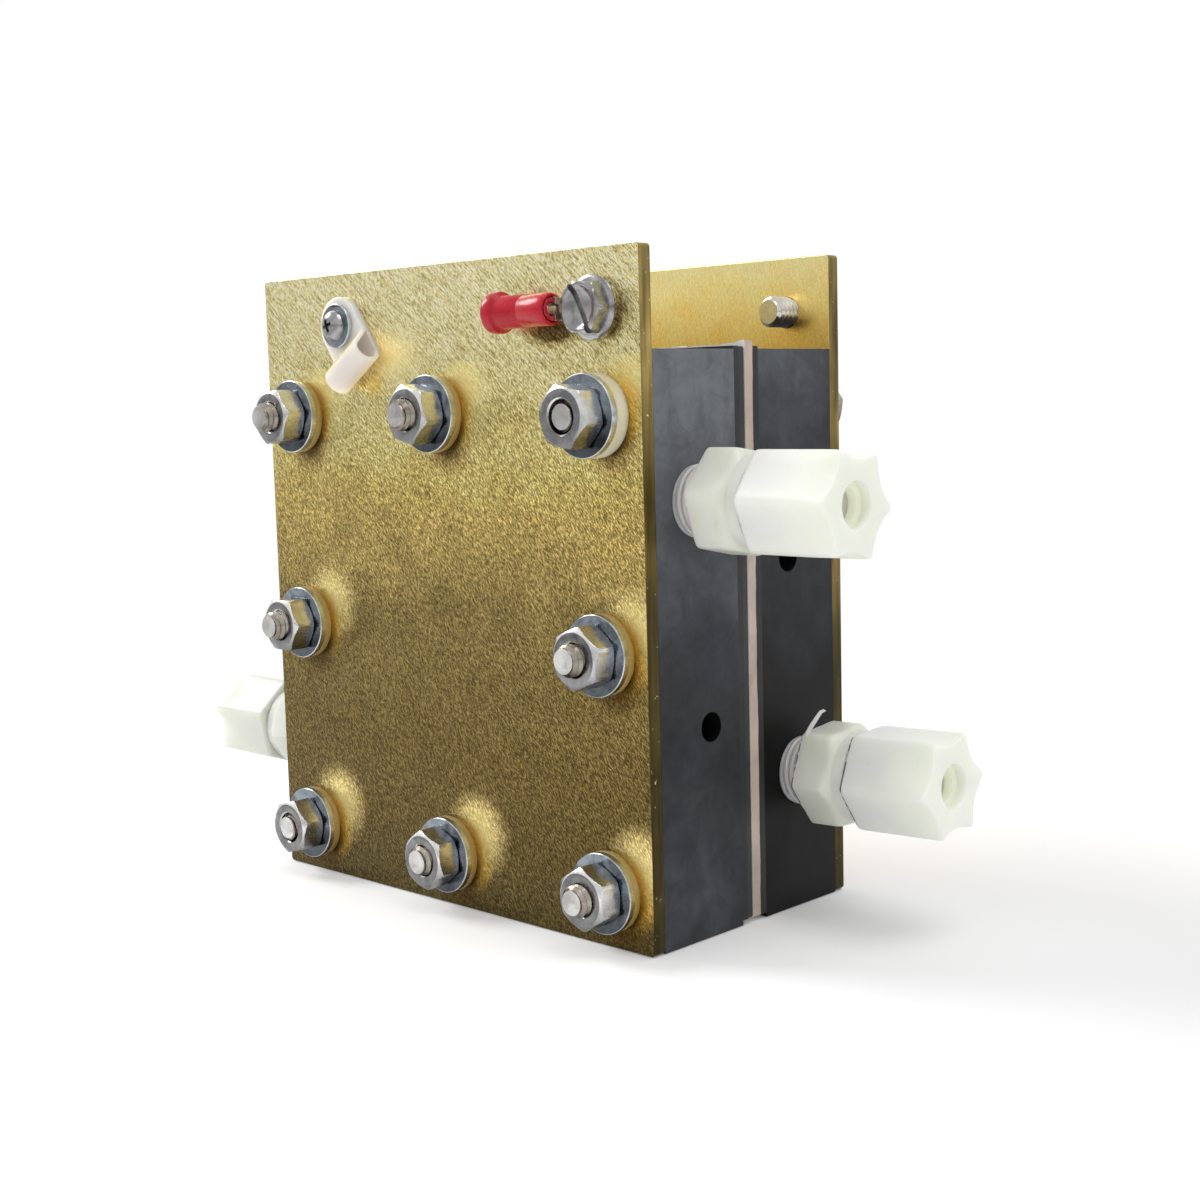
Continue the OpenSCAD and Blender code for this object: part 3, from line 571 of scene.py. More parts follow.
def milky_plastic(name, colour, deep, reach, roughness=0.32, rim=None, scale=0.004, glow=0.0):
    """Cloudy moulded plastic that light soaks into, with painted amber light at its outline if a rim
    tint is given, and a painted glow if glow is given.
    """
    material, n, shader, where = new_material(
        name, {"Subsurface Weight": 0.8, "Subsurface Radius": reach, "Subsurface Scale": scale,
               "Specular IOR Level": 0.4, "Emission Color": (*colour, 1), "Emission Strength": glow})
    smudge = use_group(n, SMUDGES, where, Blotch_Size=110.0, Pore_Size=700.0)
    tone = n.ramp(smudge["Blotch"], [(0.3, deep), (0.65, colour)])
    if rim:
        # Painted amber light where the surface turns away from view.
        facing = n.add("ShaderNodeLayerWeight", {"Blend": 0.45}).outputs["Facing"]
        tone = n.blend(n.ramp(facing, [(0.35, 0.0), (0.8, 0.9)]), tone, rim)
    n.join(tone, shader["Base Color"])
    n.join(n.ramp(smudge["Blotch"], [(0.3, roughness - 0.06), (0.7, roughness + 0.08)]),
           shader["Roughness"])
    n.join(bump(n, smudge["Blotch"], 0.05, 0.0003), shader["Normal"])
    return material


def dirt_line():
    """Plastic with dark dirt caught along a moulded edge in broken dashes."""
    material, n, shader, where = new_material("Dirty moulded edge", {"Specular IOR Level": 0.4})
    broken = n.noise(where, 620.0, 3.0)
    n.join(n.ramp(broken, [(0.50, (0.05, 0.045, 0.035)), (0.56, (0.74, 0.74, 0.66))]),
           shader["Base Color"])
    n.join(n.ramp(broken, [(0.4, 0.6), (0.6, 0.35)]), shader["Roughness"])
    return material


def red_vinyl():
    """Glossy red vinyl with soft blotches."""
    material, n, shader, where = new_material(
        "Red vinyl", {"Coat Weight": 0.15, "Coat Roughness": 0.08, "Specular IOR Level": 0.3,
                      "Subsurface Weight": 0.15, "Subsurface Radius": (1.0, 0.1, 0.1),
                      "Subsurface Scale": 0.001})
    smudge = use_group(n, SMUDGES, where, Blotch_Size=150.0, Pore_Size=900.0)
    n.join(n.ramp(smudge["Blotch"], [(0.3, (0.38, 0.002, 0.012)), (0.7, (0.54, 0.006, 0.022))]),
           shader["Base Color"])
    n.join(n.ramp(smudge["Pores"], [(0.3, 0.2), (0.7, 0.3)]), shader["Roughness"])
    return material


# On both plates the tones by height are painted shade towards the foot and painted light towards the
# top.
GOLD_FRONT = gold_plate("Rubbed gold plate", [(0.04, (0.077, 0.056, 0.019)),
                                              (0.25, (0.104, 0.072, 0.022)),
                                              (0.46, (0.172, 0.126, 0.043)),
                                              (0.66, (0.44, 0.325, 0.106)),
                                              (0.95, (1.0, 0.80, 0.34))], 45, 1.0, True)
GOLD_BACK = gold_plate("Back gold plate", [(0.2, (0.68, 0.45, 0.16)), (0.84, (1.0, 0.63, 0.17)),
                                            (1.0, (1.0, 0.82, 0.40))], 6, 0.2, False)
GOLD_EDGE = gold_edge()
GRAPHITE = graphite()
RUBBER = soft_sheet("Black gasket rubber", (0.010, 0.0105, 0.012), (0.022, 0.023, 0.025), 0.62)
FRAME_FILM = soft_sheet("Dark frame sheet", (0.018, 0.019, 0.021), (0.036, 0.037, 0.040), 0.6)
FILM = soft_sheet("Membrane film", (0.60, 0.50, 0.36), (0.72, 0.62, 0.46), 0.4)
FELT = soft_sheet("Carbon felt", (0.012, 0.012, 0.013), (0.03, 0.03, 0.032), 0.85, 2600.0, 0.8)
WHITE_SHEET = soft_sheet("White sheet", (0.82, 0.79, 0.75), (0.92, 0.90, 0.87), 0.55, 900.0, 0.3)
# The white sheet's cut sides: a darker, tan copy of the sheet as painted shade.
SHEET_SIDE_SHADE = soft_sheet("White sheet side with painted shade", (0.40, 0.31, 0.26), (0.60, 0.49, 0.42), 0.6, 900.0, 0.6)
STEEL = bright_steel("Satin steel", (0.42, 0.42, 0.42), (0.17, 0.17, 0.175), 0.14, 0.3, 520.0)
# A darker copy of the steel for the slot's faces: painted shade in the recess.
SLOT_SHADE_STEEL = bright_steel("Steel in a slot with painted shade", (0.30, 0.30, 0.30), (0.14, 0.14, 0.145), 0.25, 0.45)
NUT_STEEL = bright_steel("Nut steel", (0.60, 0.60, 0.59), (0.42, 0.42, 0.43), 0.16, 0.32, painted_shading=0.66)
# The nuts' front and back faces get a darker steel: a painted dark reflection.
NUT_FACE_SHADE = bright_steel("Nut face with painted dark reflection", (0.25, 0.25, 0.25), (0.13, 0.13, 0.135), 0.2, 0.36, 900.0)
WASHER_STEEL = bright_steel("Plated washer rim", (0.62, 0.66, 0.70), (0.40, 0.43, 0.46), 0.14, 0.28,
                            1400.0)
# Washer faces that look to the front or back: a darker copy of the plating as a painted dark reflection.
WASHER_FACE_SHADE = bright_steel("Plated washer face with painted dark reflection", (0.22, 0.25, 0.28), (0.09, 0.105, 0.12), 0.14, 0.28,
                           1400.0, painted_shading=0.5)
THREAD_STEEL = bright_steel("Thread steel", (0.40, 0.36, 0.31), (0.20, 0.175, 0.15), 0.18, 0.32,
                            painted_shading=0.5)
TIP_STEEL = bright_steel("Bolt end", (0.66, 0.65, 0.63), (0.40, 0.39, 0.38), 0.2, 0.34, 300.0)
TINNED = bright_steel("Tinned copper", (0.80, 0.77, 0.72), (0.60, 0.56, 0.50), 0.14, 0.26)
# The thin bush flanges take an amber tone as painted warm light; the odd bush keeps the cream nylon.
LIT_BUSH_NYLON = milky_plastic("Bush nylon", (0.52, 0.36, 0.14), (0.42, 0.27, 0.08), (1.0, 0.75, 0.4))
CREAM_NYLON = milky_plastic("Cream bush nylon", (0.90, 0.80, 0.60), (0.86, 0.74, 0.50), (1.0, 0.75, 0.4))
# The clip's amber outline and its glow are painted light.
CLIP_NYLON = milky_plastic("Clip nylon", (0.90, 0.80, 0.73), (0.86, 0.74, 0.66), (1.0, 0.75, 0.6), 0.2,
                           (0.95, 0.70, 0.34), 0.012, 0.06)
PLASTIC_TONES = ((0.87, 0.88, 0.82), (0.83, 0.85, 0.77), (0.9, 1.0, 0.6))
# The fitting plastic's faint glow is painted light.
FITTING_PLASTIC = milky_plastic("Milky fitting plastic", *PLASTIC_TONES, glow=0.02)
# A darker copy of the milky plastic: the bodies take it, and the caps on the left take it as painted
# shade.
BODY_PLASTIC = milky_plastic("Milky plastic of the bodies", (0.76, 0.77, 0.70), (0.71, 0.725, 0.645),
                             (0.9, 1.0, 0.6))
DIRT_LINE = dirt_line()
# A yellower copy of the milky plastic with a glow: painted light that stands for light through the wall.
BORE_GLOW_PLASTIC = milky_plastic("Milky plastic in the bores with painted glow", (0.82, 0.83, 0.72), (0.76, 0.78, 0.66),
                             (0.9, 1.0, 0.6), scale=0.012, glow=0.16)
TAPE = milky_plastic("Thread tape", (0.92, 0.84, 0.80), (0.84, 0.72, 0.66), (1.0, 0.7, 0.6), 0.4)
RED_VINYL = red_vinyl()


# ---------------------------------------------------------------- camera, light and floor

def make_camera():
    """The photo's camera, as fitted to points on the plates and blocks."""
    data = bpy.data.cameras.new("Photo camera")
    data.sensor_width = 36
    data.lens = 52.511
    data.clip_start = 0.01
    camera = bpy.data.objects.new("Photo camera", data)
    camera.location = (0.2741918, FRONT_Y * MM - 0.2369336, 0.1057417)
    camera.rotation_euler = [math.radians(a) for a in (83.38078, 1.50711, 43.83377)]
    bpy.context.scene.collection.objects.link(camera)
    bpy.context.scene.camera = camera


def area_light(name, place, target, size, power):
    """A rectangular lamp turned towards a point."""
    data = bpy.data.lights.new(name, "AREA")
    data.shape = "RECTANGLE"
    data.size, data.size_y = size
    data.energy = power
    light = bpy.data.objects.new(name, data)
    light.location = place
    light.rotation_euler = (Vector(target) - Vector(place)).to_track_quat("-Z", "Y").to_euler()
    bpy.context.scene.collection.objects.link(light)


def make_world():
    """Soft light from above; mirrored to the camera, the far side is a white backdrop."""
    world = bpy.data.worlds.new("Pale studio")
    bpy.context.scene.world = world
    world.use_nodes = True
    world.node_tree.nodes.clear()
    n = Nodes(world.node_tree)
    way = n.add("ShaderNodeTexCoord").outputs["Generated"]
    up = n.maths("MULTIPLY_ADD", n.axes(way)["Z"], 0.5)
    up.node.inputs[2].default_value = 0.5
    tone = n.ramp(up, [(0.0, 0.12), (0.47, 0.14), (0.52, 0.50), (0.58, 0.84), (0.75, 0.84),
                       (1.0, 0.80)])
    rays = n.add("ShaderNodeLightPath").outputs
    away = n.add("ShaderNodeVectorMath", {0: way, 1: (-0.69, 0.72, 0.0)}, operation="DOT_PRODUCT")
    backdrop = n.spread(away.outputs["Value"], 0.2, 0.65)
    mirrored = n.maths("MULTIPLY", n.maths("MAXIMUM", rays["Is Glossy Ray"],
                                           rays["Is Transmission Ray"]), backdrop)
    seen = n.maths("MAXIMUM", rays["Is Camera Ray"], mirrored)
    colour = n.blend(seen, tone, (1.0, 1.0, 1.0))
    sky = n.add("ShaderNodeBackground", {"Color": colour, "Strength": 1.0})
    n.join(sky.outputs[0], n.add("ShaderNodeOutputWorld").inputs["Surface"])


def make_floor():
    """A white floor that keeps the shadow and runs out into white; a weaker glow on the right deepens
    the shadow there as painted shade.
    """
    bm = bmesh.new()
    bmesh.ops.create_circle(bm, cap_ends=True, segments=96, radius=3.0)
    mesh = bpy.data.meshes.new("floor")
    bm.to_mesh(mesh)
    bm.free()
    floor = bpy.data.objects.new("floor", mesh)
    floor.location.z = -0.0002
    bpy.context.scene.collection.objects.link(floor)
    material = bpy.data.materials.new("White floor")
    material.use_nodes = True
    material.node_tree.nodes.clear()
    n = Nodes(material.node_tree)
    paint = n.add("ShaderNodeBsdfDiffuse", {"Color": (0.86, 0.86, 0.86, 1)})
    white = n.add("ShaderNodeEmission", {"Color": (1, 1, 1, 1), "Strength": 1.0})
    where = n.add("ShaderNodeTexCoord").outputs["Object"]
    far = n.add("ShaderNodeVectorMath", {0: where}, operation="LENGTH").outputs["Value"]
    right = n.add("ShaderNodeVectorMath", {0: where, 1: (0.72, 0.69, 0.0)}, operation="DOT_PRODUCT")
    # The glow is weaker on the right, which deepens the shadow there as painted shade.
    lift = n.spread(right.outputs["Value"], -0.08, 0.12, 0.26, 0.02)
    glow = n.add("ShaderNodeEmission", {"Color": (1, 1, 1, 1), "Strength": lift})
    near = n.add("ShaderNodeAddShader", {0: paint.outputs[0], 1: glow.outputs[0]})
    fade = n.spread(far, 0.16, 0.36, smooth=True)
    shown = n.add("ShaderNodeMixShader", {0: fade, 1: near.outputs[0], 2: white.outputs[0]})
    rays = n.add("ShaderNodeLightPath").outputs
    seen = n.maths("MAXIMUM", n.maths("MAXIMUM", rays["Is Camera Ray"], rays["Is Glossy Ray"]),
                   rays["Is Transmission Ray"])
    both = n.add("ShaderNodeMixShader", {0: seen, 1: paint.outputs[0], 2: shown.outputs[0]})
    n.join(both.outputs[0], n.add("ShaderNodeOutputMaterial").inputs["Surface"])
    mesh.materials.append(material)


make_camera()
make_world()
make_floor()
area_light("Key", (-0.85, -0.30, 0.74), (0, 0, 0.05), (0.45, 0.45), 6.4)
area_light("Top", (0.40, 0.1, 1.1), (0, 0, 0.05), (0.6, 0.6), 3.0)
bpy.context.scene.view_settings.view_transform = "Standard"


# ---------------------------------------------------------------- plates, blocks and sheets

def dress(node, name, material, width, segments=2):
    """A CAD node's own shape with softened edges and a finish."""
    return soften(finish_piece(name, solid_copy(node), material, [node]), width, segments)


def give_finish(node, material):
    """Gives a finish to a CAD node whose shape stays as it is."""
    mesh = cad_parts[node].data
    mesh.materials.clear()
    mesh.materials.append(material)


def faces_front(centre, normal):
    """A test for faces that look to the front or the back."""
    return abs(normal.y) > 0.9


def sawn_side(centre, normal):
    """A test for faces on a plate's rim."""
    beside = abs(centre.x) > PLATE_W / 2 - 0.6
    return abs(normal.y) < 0.5 and (beside or centre.z > 132.7 or centre.z < 0.6)


second_finish(dress("front_collector_plate", "front_plate", GOLD_FRONT, 0.18),
              GOLD_EDGE, sawn_side)
second_finish(dress("back_collector_plate", "back_plate", GOLD_BACK, 0.18),
              GOLD_EDGE, sawn_side)
for node, finish in (("front_flow_block", GRAPHITE), ("back_flow_block", GRAPHITE),
                     ("front_gasket", RUBBER), ("electrode_frame", FRAME_FILM),
                     ("back_gasket", RUBBER), ("membrane", FILM), ("front_felt", FELT),
                     ("back_felt", FELT)):
    give_finish(node, finish)


def white_sheet():
    """The white sheet, its outer edge cut by hand and a little torn at the top."""
    low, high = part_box("ptfe_gasket")
    x0, x1, z0, z1 = low.x / MM, high.x / MM, low.z / MM, high.z / MM
    y0, y1 = low.y / MM, high.y / MM
    bm = bmesh.new()
    bmesh.ops.create_grid(bm, x_segments=1, y_segments=1, size=0.5)
    bmesh.ops.scale(bm, vec=(x1 - x0, z1 - z0, 1), verts=bm.verts)
    bmesh.ops.rotate(bm, cent=(0, 0, 0), matrix=Matrix.Rotation(math.radians(90), 3, "X"),
                     verts=bm.verts)
    bmesh.ops.translate(bm, vec=((x0 + x1) / 2, y1, (z0 + z1) / 2), verts=bm.verts)
    bmesh.ops.inset_region(bm, faces=bm.faces[:], thickness=3.0)
    outer = [e for e in bm.edges if e.is_boundary]
    bmesh.ops.subdivide_edges(bm, edges=outer, cuts=90, use_grid_fill=False)
    wall = bmesh.ops.extrude_face_region(bm, geom=bm.faces[:])["geom"]
    moved = [g for g in wall if isinstance(g, bmesh.types.BMVert)]
    bmesh.ops.translate(bm, vec=(0, y0 - y1, 0), verts=moved)
    for v in bm.verts:
        edge_x = min(abs(v.co.x - x0), abs(v.co.x - x1))
        edge_z = min(abs(v.co.z - z0), abs(v.co.z - z1))
        if min(edge_x, edge_z) > 0.01:
            continue
        wave = noise.noise(Vector((v.co.x * 0.09, v.co.y * 0.2, v.co.z * 0.09)))
        fine = noise.noise(Vector((v.co.x * 0.5, v.co.y * 0.6, v.co.z * 0.5)))
        inward = max(0.02, 0.25 + 0.35 * wave + 0.18 * fine)
        if edge_x <= 0.01:
            v.co.x += inward * 0.35 * (1 if v.co.x < 0 else -1)
        if edge_z <= 0.01:
            v.co.z += inward * (1 if v.co.z < 50 else -1)
        near = math.hypot(v.co.x - (x1 - 0.6), v.co.z - z1) if edge_z <= 0.01 else 9
        v.co.z += max(0.0, 1.1 - 0.9 * near) * (0.4 + 0.6 * (v.co.y < (y0 + y1) / 2))
    bmesh.ops.recalc_face_normals(bm, faces=bm.faces)
    piece = finish_piece("white_gasket", bm, WHITE_SHEET, ["ptfe_gasket"], 50)
    # The cut sides take the darker copy as painted shade.
    second_finish(piece, SHEET_SIDE_SHADE, lambda c, m: abs(m.x) > 0.7 and abs(c.x) > 56)
    return piece


white_sheet()


# ---------------------------------------------------------------- fasteners

def hex_radius(angle, flat, power=28):
    """Radius of a hex with soft corners, a corner at angle zero."""
    total = 0.0
    for k in range(3):
        total += abs(math.cos(angle - math.radians(30 + 60 * k)) / flat) ** power
    return total ** (-1 / power)


# Each bolt's column and row, how far its thread stands past its nut, and its nut's turn
BOLTS = [(-1, 1), (0, 1), (1, 1), (-1, 0), (1, 0), (-1, -1), (0, -1), (1, -1)]
THREAD_PAST = [2.8, 2.5, -0.3, 2.8, 2.6, 0.5, 1.4, 2.3]
NUT_TURNS = [8, 45, 48, 0, 22, 15, 38, 32]
ODD = 2


def bolt_place(i):
    """Where a bolt is, and how thick its bush's flange is; one bush is odd."""
    column, row = BOLTS[i]
    x = column * (PLATE_W / 2 - BOLT_MARGIN)
    z = BLOCK_H / 2 + row * (BLOCK_H / 2 - BOLT_MARGIN) - (0.9 if i == ODD else 0)
    flange = 3.0 if i == ODD else 1.4
    return x, z, flange


def tie_bolts():
    """The bolts' heads and shanks from the solids, with threads cut on their front ends."""
    whole = bmesh.new()
    rods = solid_copy("tie_bolts")
    for i in range(len(BOLTS)):
        x, z, flange = bolt_place(i)
        tip = flange + WASHER_T + NUT_H + THREAD_PAST[i]
        rod = spun(threaded_rod(BOLT_R, BOLT_PITCH, flange + 1.2, tip), 47 * i)
        merge_into(whole, placed(rod, facing_front(x, FRONT_Y, z)))
    cut_flat(rods, (0, FRONT_Y - 1.2, 0), (0, -1, 0))
    merge_into(whole, rods)
    piece = finish_piece("tie_bolt_set", whole, THREAD_STEEL, ["tie_bolts"], 35)
    return second_finish(piece, TIP_STEEL, faces_front)


tie_bolts()


def tie_nuts():
    """Hex nuts with turned, well rounded corners, each at the turn where it stopped."""
    face = 5.15

    def capped(r):
        return lambda a: min(hex_radius(a, 5.55, 60), r)

    low = [(0.3, round_at(3.25)), (0.0, round_at(3.55)), (0.0, round_at(face)),
           (0.1, capped(face + 0.2)), (0.25, capped(face + 0.47)), (0.42, capped(face + 0.75)),
           (0.6, capped(face + 1.04)), (0.78, capped(7.0))]
    sections = low + [(NUT_H - z, r) for z, r in reversed(low)] + low[:1]
    whole = bmesh.new()
    for i, turn in enumerate(NUT_TURNS):
        x, z, flange = bolt_place(i)
        nut = spun(lofted(sections), turn)
        merge_into(whole, placed(nut, facing_front(x, FRONT_Y - flange - WASHER_T, z)))
    piece = finish_piece("tie_nut_set", whole, NUT_STEEL, ["tie_nuts"], 35)
    # Faces that look to the front or back take the darker steel as a painted dark reflection.
    return soften(second_finish(piece, NUT_FACE_SHADE, faces_front), 0.07, 2, 30)


def dress_washers(node, name):
    """Washers with bright rims, and faces darkened as a painted dark reflection."""
    return second_finish(dress(node, name, WASHER_STEEL, 0.08), WASHER_FACE_SHADE, faces_front)


SLEEVE_START = 6.8


def barrel_end(centre, normal):
    """A test for the crimp barrel's end face, which the sleeve's lip hides."""
    return normal.x > 0.9 and abs(centre.x - TERMINAL_X + SLEEVE_START) < 0.3


def odd_bush(centre, normal):
    """A test for faces of the odd bush."""
    x, z, flange = bolt_place(ODD)
    return math.hypot(centre.x - x, centre.z - z) < 12


tie_nuts()
dress_washers("front_washers", "front_washer_set")
dress_washers("back_washers", "back_washer_set")
second_finish(dress("front_bushes", "front_bush_set", LIT_BUSH_NYLON, 0.25),
              CREAM_NYLON, odd_bush)
dress("back_bushes", "back_bush_set", LIT_BUSH_NYLON, 0.25)
dress_washers("clip_washer", "clip_ring")
second_finish(dress("ring_terminal", "lead_ring", TINNED, 0.1), RED_VINYL,
              barrel_end)
dress("cable_clip", "lead_clip", CLIP_NYLON, 0.3, 3)


def terminal_screw(node, name, turn):
    """A slotted hex screw: flange, dished and chamfered hex, and a cut thread on its end."""
    def hexed(shrink, cap):
        return lambda a: min(hex_radius(a - math.radians(-3), 4.75 - shrink), cap)

    head = lofted([(-0.6, round_at(3.0)), (0.0, round_at(3.0)), (0.0, round_at(5.9)),
                   (0.12, round_at(6.04)), (0.35, round_at(6.1)), (0.55, round_at(6.02)),
                   (0.85, round_at(5.6)), (0.95, hexed(0.0, 5.47)), (3.05, hexed(0.0, 5.47)),
                   (3.45, hexed(0.02, 5.1)), (3.72, hexed(0.05, 4.66)), (3.8, hexed(0.1, 4.45)),
                   (3.78, round_at(4.1)), (3.62, round_at(3.85)), (3.38, round_at(3.6)),
                   (3.2, round_at(2.6)), (3.12, round_at(0.9))])
    whole = carved(head, spun(box_shape((-6, -0.6, 2.55), (6, 0.6, 5)), 117))
    rod = threaded_rod(BOLT_R, BOLT_PITCH, -9.1, -0.4)
    bmesh.ops.rotate(rod, cent=(0, 0, -4.75), matrix=Matrix.Rotation(math.pi, 3, "X"),
                     verts=rod.verts)
    merge_into(whole, rod)
    piece = finish_piece(name, placed(whole, turn), STEEL, [node], 35)
    back = turn.inverted()

    def in_slot(centre, normal):
        """The slot lies along the line where this sum of x and y is zero."""
        p = back @ centre
        return abs(p.x * 0.891 + p.y * 0.454) < 0.56 and 2.4 < p.z < 3.02 and p.xy.length < 5.3

    # The slot's faces take the darker steel as painted shade.
    second_finish(piece, SLOT_SHADE_STEEL, in_slot)
    second_finish(piece, TINNED, lambda centre, normal: (back @ centre).z < -0.7)
    return soften(piece, 0.07, 2, 40)


terminal_screw("front_terminal_screw", "front_terminal",
               facing_front(TERMINAL_X, FRONT_Y - 0.8, TERMINAL_Z))
terminal_screw("back_terminal_screw", "back_terminal",
               facing_back(TERMINAL_X, BACK_Y, TERMINAL_Z))


def clip_screw():
    """The clip's pan head screw with its cross recess."""
    head = turned([(0, -5.5), (1.74, -5.5), (1.74, 2.9), (3.25, 2.9), (3.3, 3.02), (3.27, 3.35),
                   (3.1, 3.85), (2.75, 4.35), (2.2, 4.78), (1.5, 5.05), (0.75, 5.17), (0, 5.2)], 48)
    arms = []
    for turn in (20, 110):
        arm = box_shape((-1.75, -0.38, 3.7), (1.75, 0.38, 6))
        for v in arm.verts:
            if v.co.z < 4:
                v.co.x *= 0.45
        arms.append(spun(arm, turn))
    whole = carved(head, *arms)
    x = 28.6 - PLATE_W / 2
    piece = finish_piece("clip_fastener", placed(whole, facing_front(x, FRONT_Y, TERMINAL_Z)), STEEL,
                         ["clip_screw"], 35)
    return soften(piece, 0.06, 2, 40)


clip_screw()


def red_sleeve():
    """The flared vinyl sleeve over the crimp barrel."""
    outer = [(2.35, 0.35), (2.42, 0.05), (2.6, 0.0), (2.92, 0.08), (3.06, 0.35), (3.1, 1.5), (3.14, 6.6),
             (3.06, 6.75), (3.06, 6.95), (3.16, 7.1), (3.2, 12.9), (3.27, 13.15), (3.6, 13.35),
             (3.93, 13.5), (4.02, 13.7), (4.03, 15.2), (3.97, 15.6), (3.8, 15.78), (3.55, 15.74),
             (3.3, 15.3), (2.9, 14.0), (2.5, 12.6), (2.32, 11.5), (2.3, 5.0)]
    bm = turned(outer + [outer[0]], 64)
    turn = (Matrix.Translation((TERMINAL_X - SLEEVE_START, FRONT_Y - 4.5, TERMINAL_Z))
            @ Matrix.Rotation(math.radians(-90), 4, "Y"))
    return finish_piece("lead_sleeve", placed(bm, turn), RED_VINYL,
                        ["terminal_sleeve"], 60)


red_sleeve()


# ---------------------------------------------------------------- tube fittings

# A fitting is drawn along Z from its port: across flats, the cap nut's start and length, and the
# radius of the cutter that hollows its flats
AF = 19.05
CAP = 17.2
CAP_LEN = 19.8
HOLLOW = 10.0


def pipe_radius(s):
    """The tapered thread's radius at a distance from the port."""
    return 13.6 / 2 + s / 32


def star_radius(angle, flat, depth):
    """The hex with a hollow scooped into each flat."""
    r = hex_radius(angle, flat)
    if depth <= 0:
        return r
    phi = (angle % math.radians(60)) - math.radians(30)
    centre = flat + HOLLOW - depth
    inside = HOLLOW ** 2 - (centre * math.sin(phi)) ** 2
    if inside <= 0:
        return r
    scoop = centre * math.cos(phi) - math.sqrt(inside)
    if scoop <= 0:
        return r
    power = 40
    return (r ** -power + scoop ** -power) ** (-1 / power)


def cap_nut(turn):
    """The moulded cap nut with its scooped, six-pointed end."""
    a0 = math.radians(turn)
    flat = AF / 2

    def hexed(shrink, depth=0.0):
        return lambda a: star_radius(a - a0, flat - shrink, depth)

    sections = [(0.6, round_at(7.7)), (0.0, round_at(7.8)), (0.0, hexed(1.1)), (0.12, hexed(0.7)),
                (0.45, hexed(0.22)), (0.85, hexed(0.05)), (1.4, hexed(0.0)), (7.0, hexed(0.0)),
                (CAP_LEN - 6.2, hexed(0.0)), (CAP_LEN - 5.4, hexed(0.0, 0.05)),
                (CAP_LEN - 4.4, hexed(0.0, 0.22)), (CAP_LEN - 3.0, hexed(0.0, 0.6)),
                (CAP_LEN - 1.6, hexed(0.0, 1.0)), (CAP_LEN - 0.5, hexed(0.0, 1.28)),
                (CAP_LEN - 0.18, hexed(0.12, 1.26)), (CAP_LEN - 0.02, hexed(0.4, 1.15)),
                (CAP_LEN, hexed(0.8, 1.0)), (CAP_LEN, round_at(4.6)), (CAP_LEN - 0.06, round_at(4.4)),
                (CAP_LEN - 0.3, round_at(4.3)), (CAP_LEN - 2.2, round_at(4.25)),
                (CAP_LEN - 2.4, round_at(4.05)), (CAP_LEN - 2.45, round_at(3.5)),
                (CAP_LEN - 2.6, round_at(3.38)),
                (CAP_LEN - 4.4, round_at(3.38)), (CAP_LEN - 4.6, round_at(4.6)),
                (13.2, round_at(6.2)), (9.9, round_at(6.3)), (9.8, round_at(7.66)),
                (0.8, round_at(7.66)), (0.6, round_at(7.7))]
    bm = lofted(sections, 120)
    bmesh.ops.translate(bm, vec=(0, 0, CAP), verts=bm.verts)
    return bm


def fitting_body(turn):
    """Tapered thread, soft-cornered hex with its chamfers, collar and spigot."""
    a0 = math.radians(turn)
    flat = AF / 2

    def soft(r, shrink=0.0):
        power = 30
        return lambda a: (hex_radius(a - a0, flat - shrink) ** -power + r ** -power) ** (-1 / power)

    sections = [(-10, round_at(2.4)), (-10, round_at(pipe_radius(-10) - 0.4)),
                (-9.4, round_at(pipe_radius(-10))), (5.4, round_at(pipe_radius(4))),
                (5.65, round_at(7.4)), (5.7, soft(13, 0.42)), (5.76, soft(13, 0.2)),
                (5.95, soft(13, 0.05)), (6.2, soft(13)), (11.6, soft(13)), (12.3, soft(11.6)),
                (12.8, soft(11.0)), (13.3, soft(10.45)), (13.8, soft(9.95)), (14.2, soft(9.6)),
                (14.45, round_at(9.2)), (14.8, round_at(9.08)), (16.6, round_at(9.06)),
                (16.95, round_at(8.9)), (17.0, round_at(8.6)), (17.0, round_at(7.6)),
                (26.9, round_at(7.55)), (27.0, round_at(7.4)), (27.0, round_at(5.2)),
                (24.0, round_at(3.35)), (14.5, round_at(3.35)), (14.5, round_at(2.4)),
                (-10, round_at(2.4))]
    return lofted(sections, 120)


def port(side, block_y, rise, sunk, tilt):
    """Where a fitting drawn along Z goes: a port's face, out of square by the tilt."""
    turn = Matrix(((0, 0, 1, 0), (1, 0, 0, 0), (0, 1, 0, 0), (0, 0, 0, 1)))
    place = Matrix.Translation((PLATE_W / 2, block_y + BLOCK_T / 2, BLOCK_H / 2 + rise * PORT_RISE))
    lean = Matrix.Rotation(math.radians(-tilt), 4, "Y") @ Matrix.Translation((-sunk, 0, 0))
    mirror = Matrix.Scale(side, 4, (1, 0, 0))
    return mirror @ place @ lean @ turn


# Name, side, block, up or down, how deep it is screwed in, tilt, and the turns of body and nut
FITTINGS = [("front_upper", 1, FRONT_BLOCK_Y, 1, 0.0, 0.0, -11.5, -6.0),
            ("front_lower", -1, FRONT_BLOCK_Y, -1, 1.0, 0.0, 4.0, -18.5),
            ("back_upper", -1, BACK_BLOCK_Y, 1, 0.0, 0.0, 15.0, 9.0),
            ("back_lower", 1, BACK_BLOCK_Y, -1, 0.0, 2.0, 6.0, 4.5)]


def bore_test(where):
    """A test for faces that lie in a fitting's bore."""
    back = where.inverted()
    return lambda centre, normal: math.hypot(*(back @ centre).xy) < 4.15


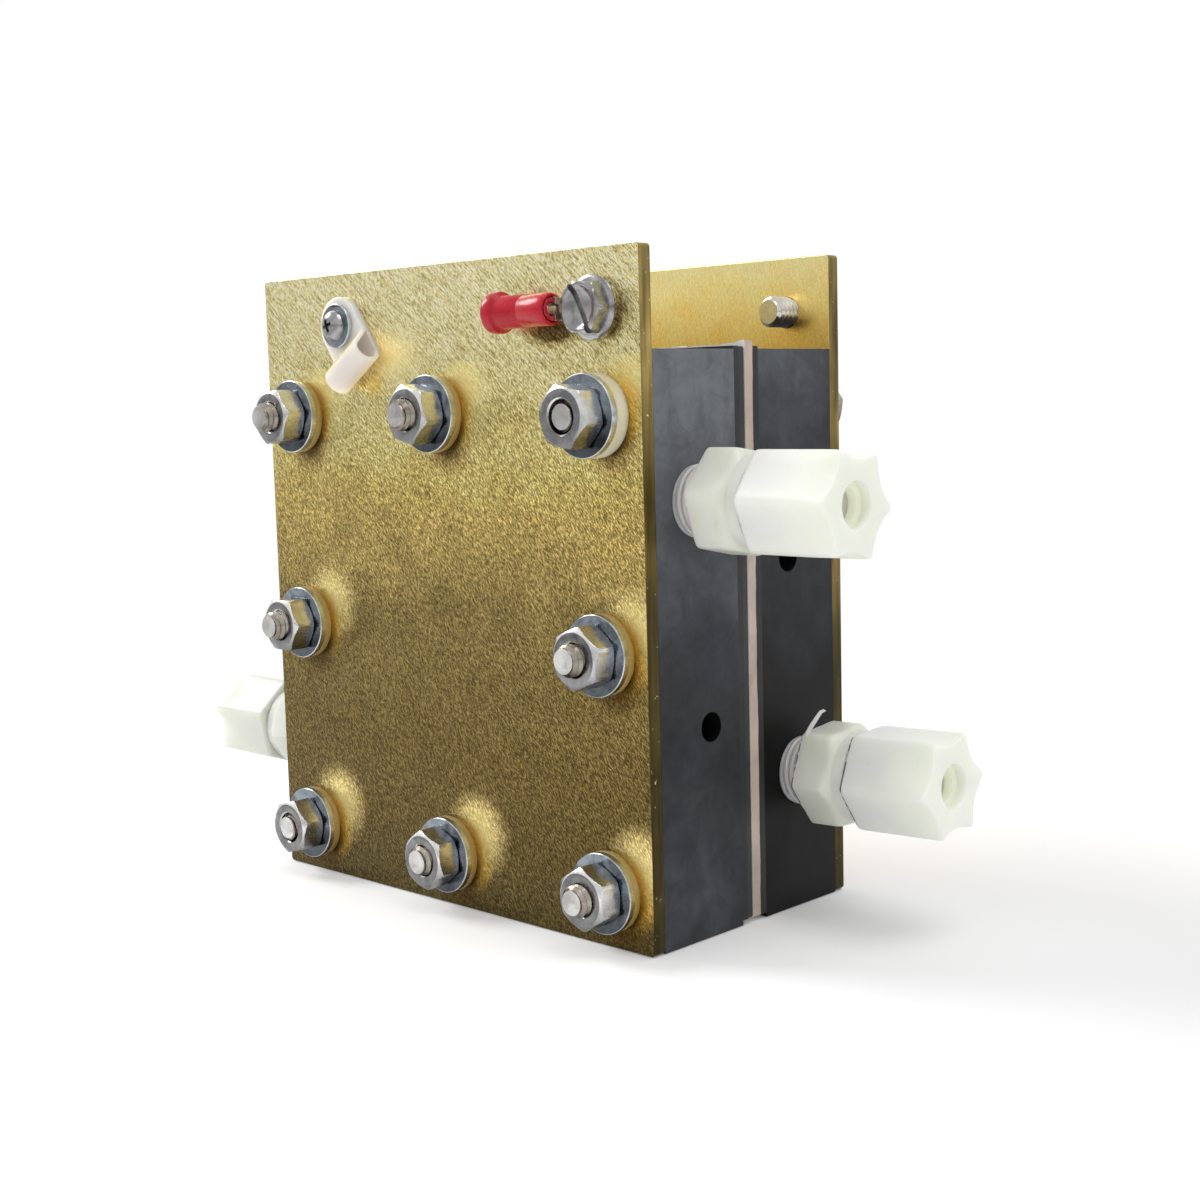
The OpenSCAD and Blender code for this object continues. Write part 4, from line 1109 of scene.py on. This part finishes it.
def ring_test(where, low, high):
    """A test for faces in a ring round a fitting's hex."""
    back = where.inverted()

    def inside(centre, normal):
        p = back @ centre
        return low < p.z < high and p.xy.length > 8.3

    return inside


tape_whole = bmesh.new()
for label, side, block_y, rise, sunk, tilt, body_turn, nut_turn in FITTINGS:
    where = port(side, block_y, rise, sunk, tilt)
    body = finish_piece(label + "_fitting", placed(fitting_body(body_turn), where), BODY_PLASTIC,
                        [label + "_body"], 38)
    # Caps on the left take the darker plastic as painted shade.
    cap = finish_piece(label + "_cap", placed(cap_nut(nut_turn), where),
                       FITTING_PLASTIC if side > 0 else BODY_PLASTIC,
                       [label + "_nut"], 38)
    if tilt:
        second_finish(body, DIRT_LINE, ring_test(where, 5.96, 6.2))
        second_finish(cap, DIRT_LINE, ring_test(where, CAP + 0.46, CAP + 0.85))
    second_finish(body, BORE_GLOW_PLASTIC, bore_test(where))
    second_finish(cap, BORE_GLOW_PLASTIC, bore_test(where))
    wound = threaded_rod(7.05, 1.41, sunk + 0.05 + 0.13 * tilt, 5.6, taper=0, depth=0.22, steps=48,
                         cone=1 / 32)
    merge_into(tape_whole, placed(wound, where))
    for inner in ("_ferrule", "_grip"):
        give_finish(label + inner, BORE_GLOW_PLASTIC)


def tape_end():
    """The loose end of the tape that stands up between the back lower fitting's hexes."""
    bm = bmesh.new()
    path = [Vector((7.2, 9.2, 38.2)), Vector((8.6, 9.1, 40.2)), Vector((10.0, 9.0, 41.9)),
            Vector((10.9, 9.0, 43.0)), Vector((11.8, 9.1, 43.4))]
    for side in (0.0, 0.12):
        row = [bm.verts.new(Vector((PLATE_W / 2, side, 0)) + p) for p in path]
        top = [bm.verts.new(Vector((PLATE_W / 2 + 0.6, side, -0.9 + 0.15 * k)) + p)
               for k, p in enumerate(path)]
        for k in range(len(path) - 1):
            bm.faces.new((row[k], row[k + 1], top[k + 1], top[k]))
    bmesh.ops.bridge_loops(bm, edges=[e for e in bm.edges if e.is_boundary])
    bmesh.ops.recalc_face_normals(bm, faces=bm.faces)
    return bm


merge_into(tape_whole, tape_end())
finish_piece("wound_tape", tape_whole, TAPE, ["thread_tape"], 50)
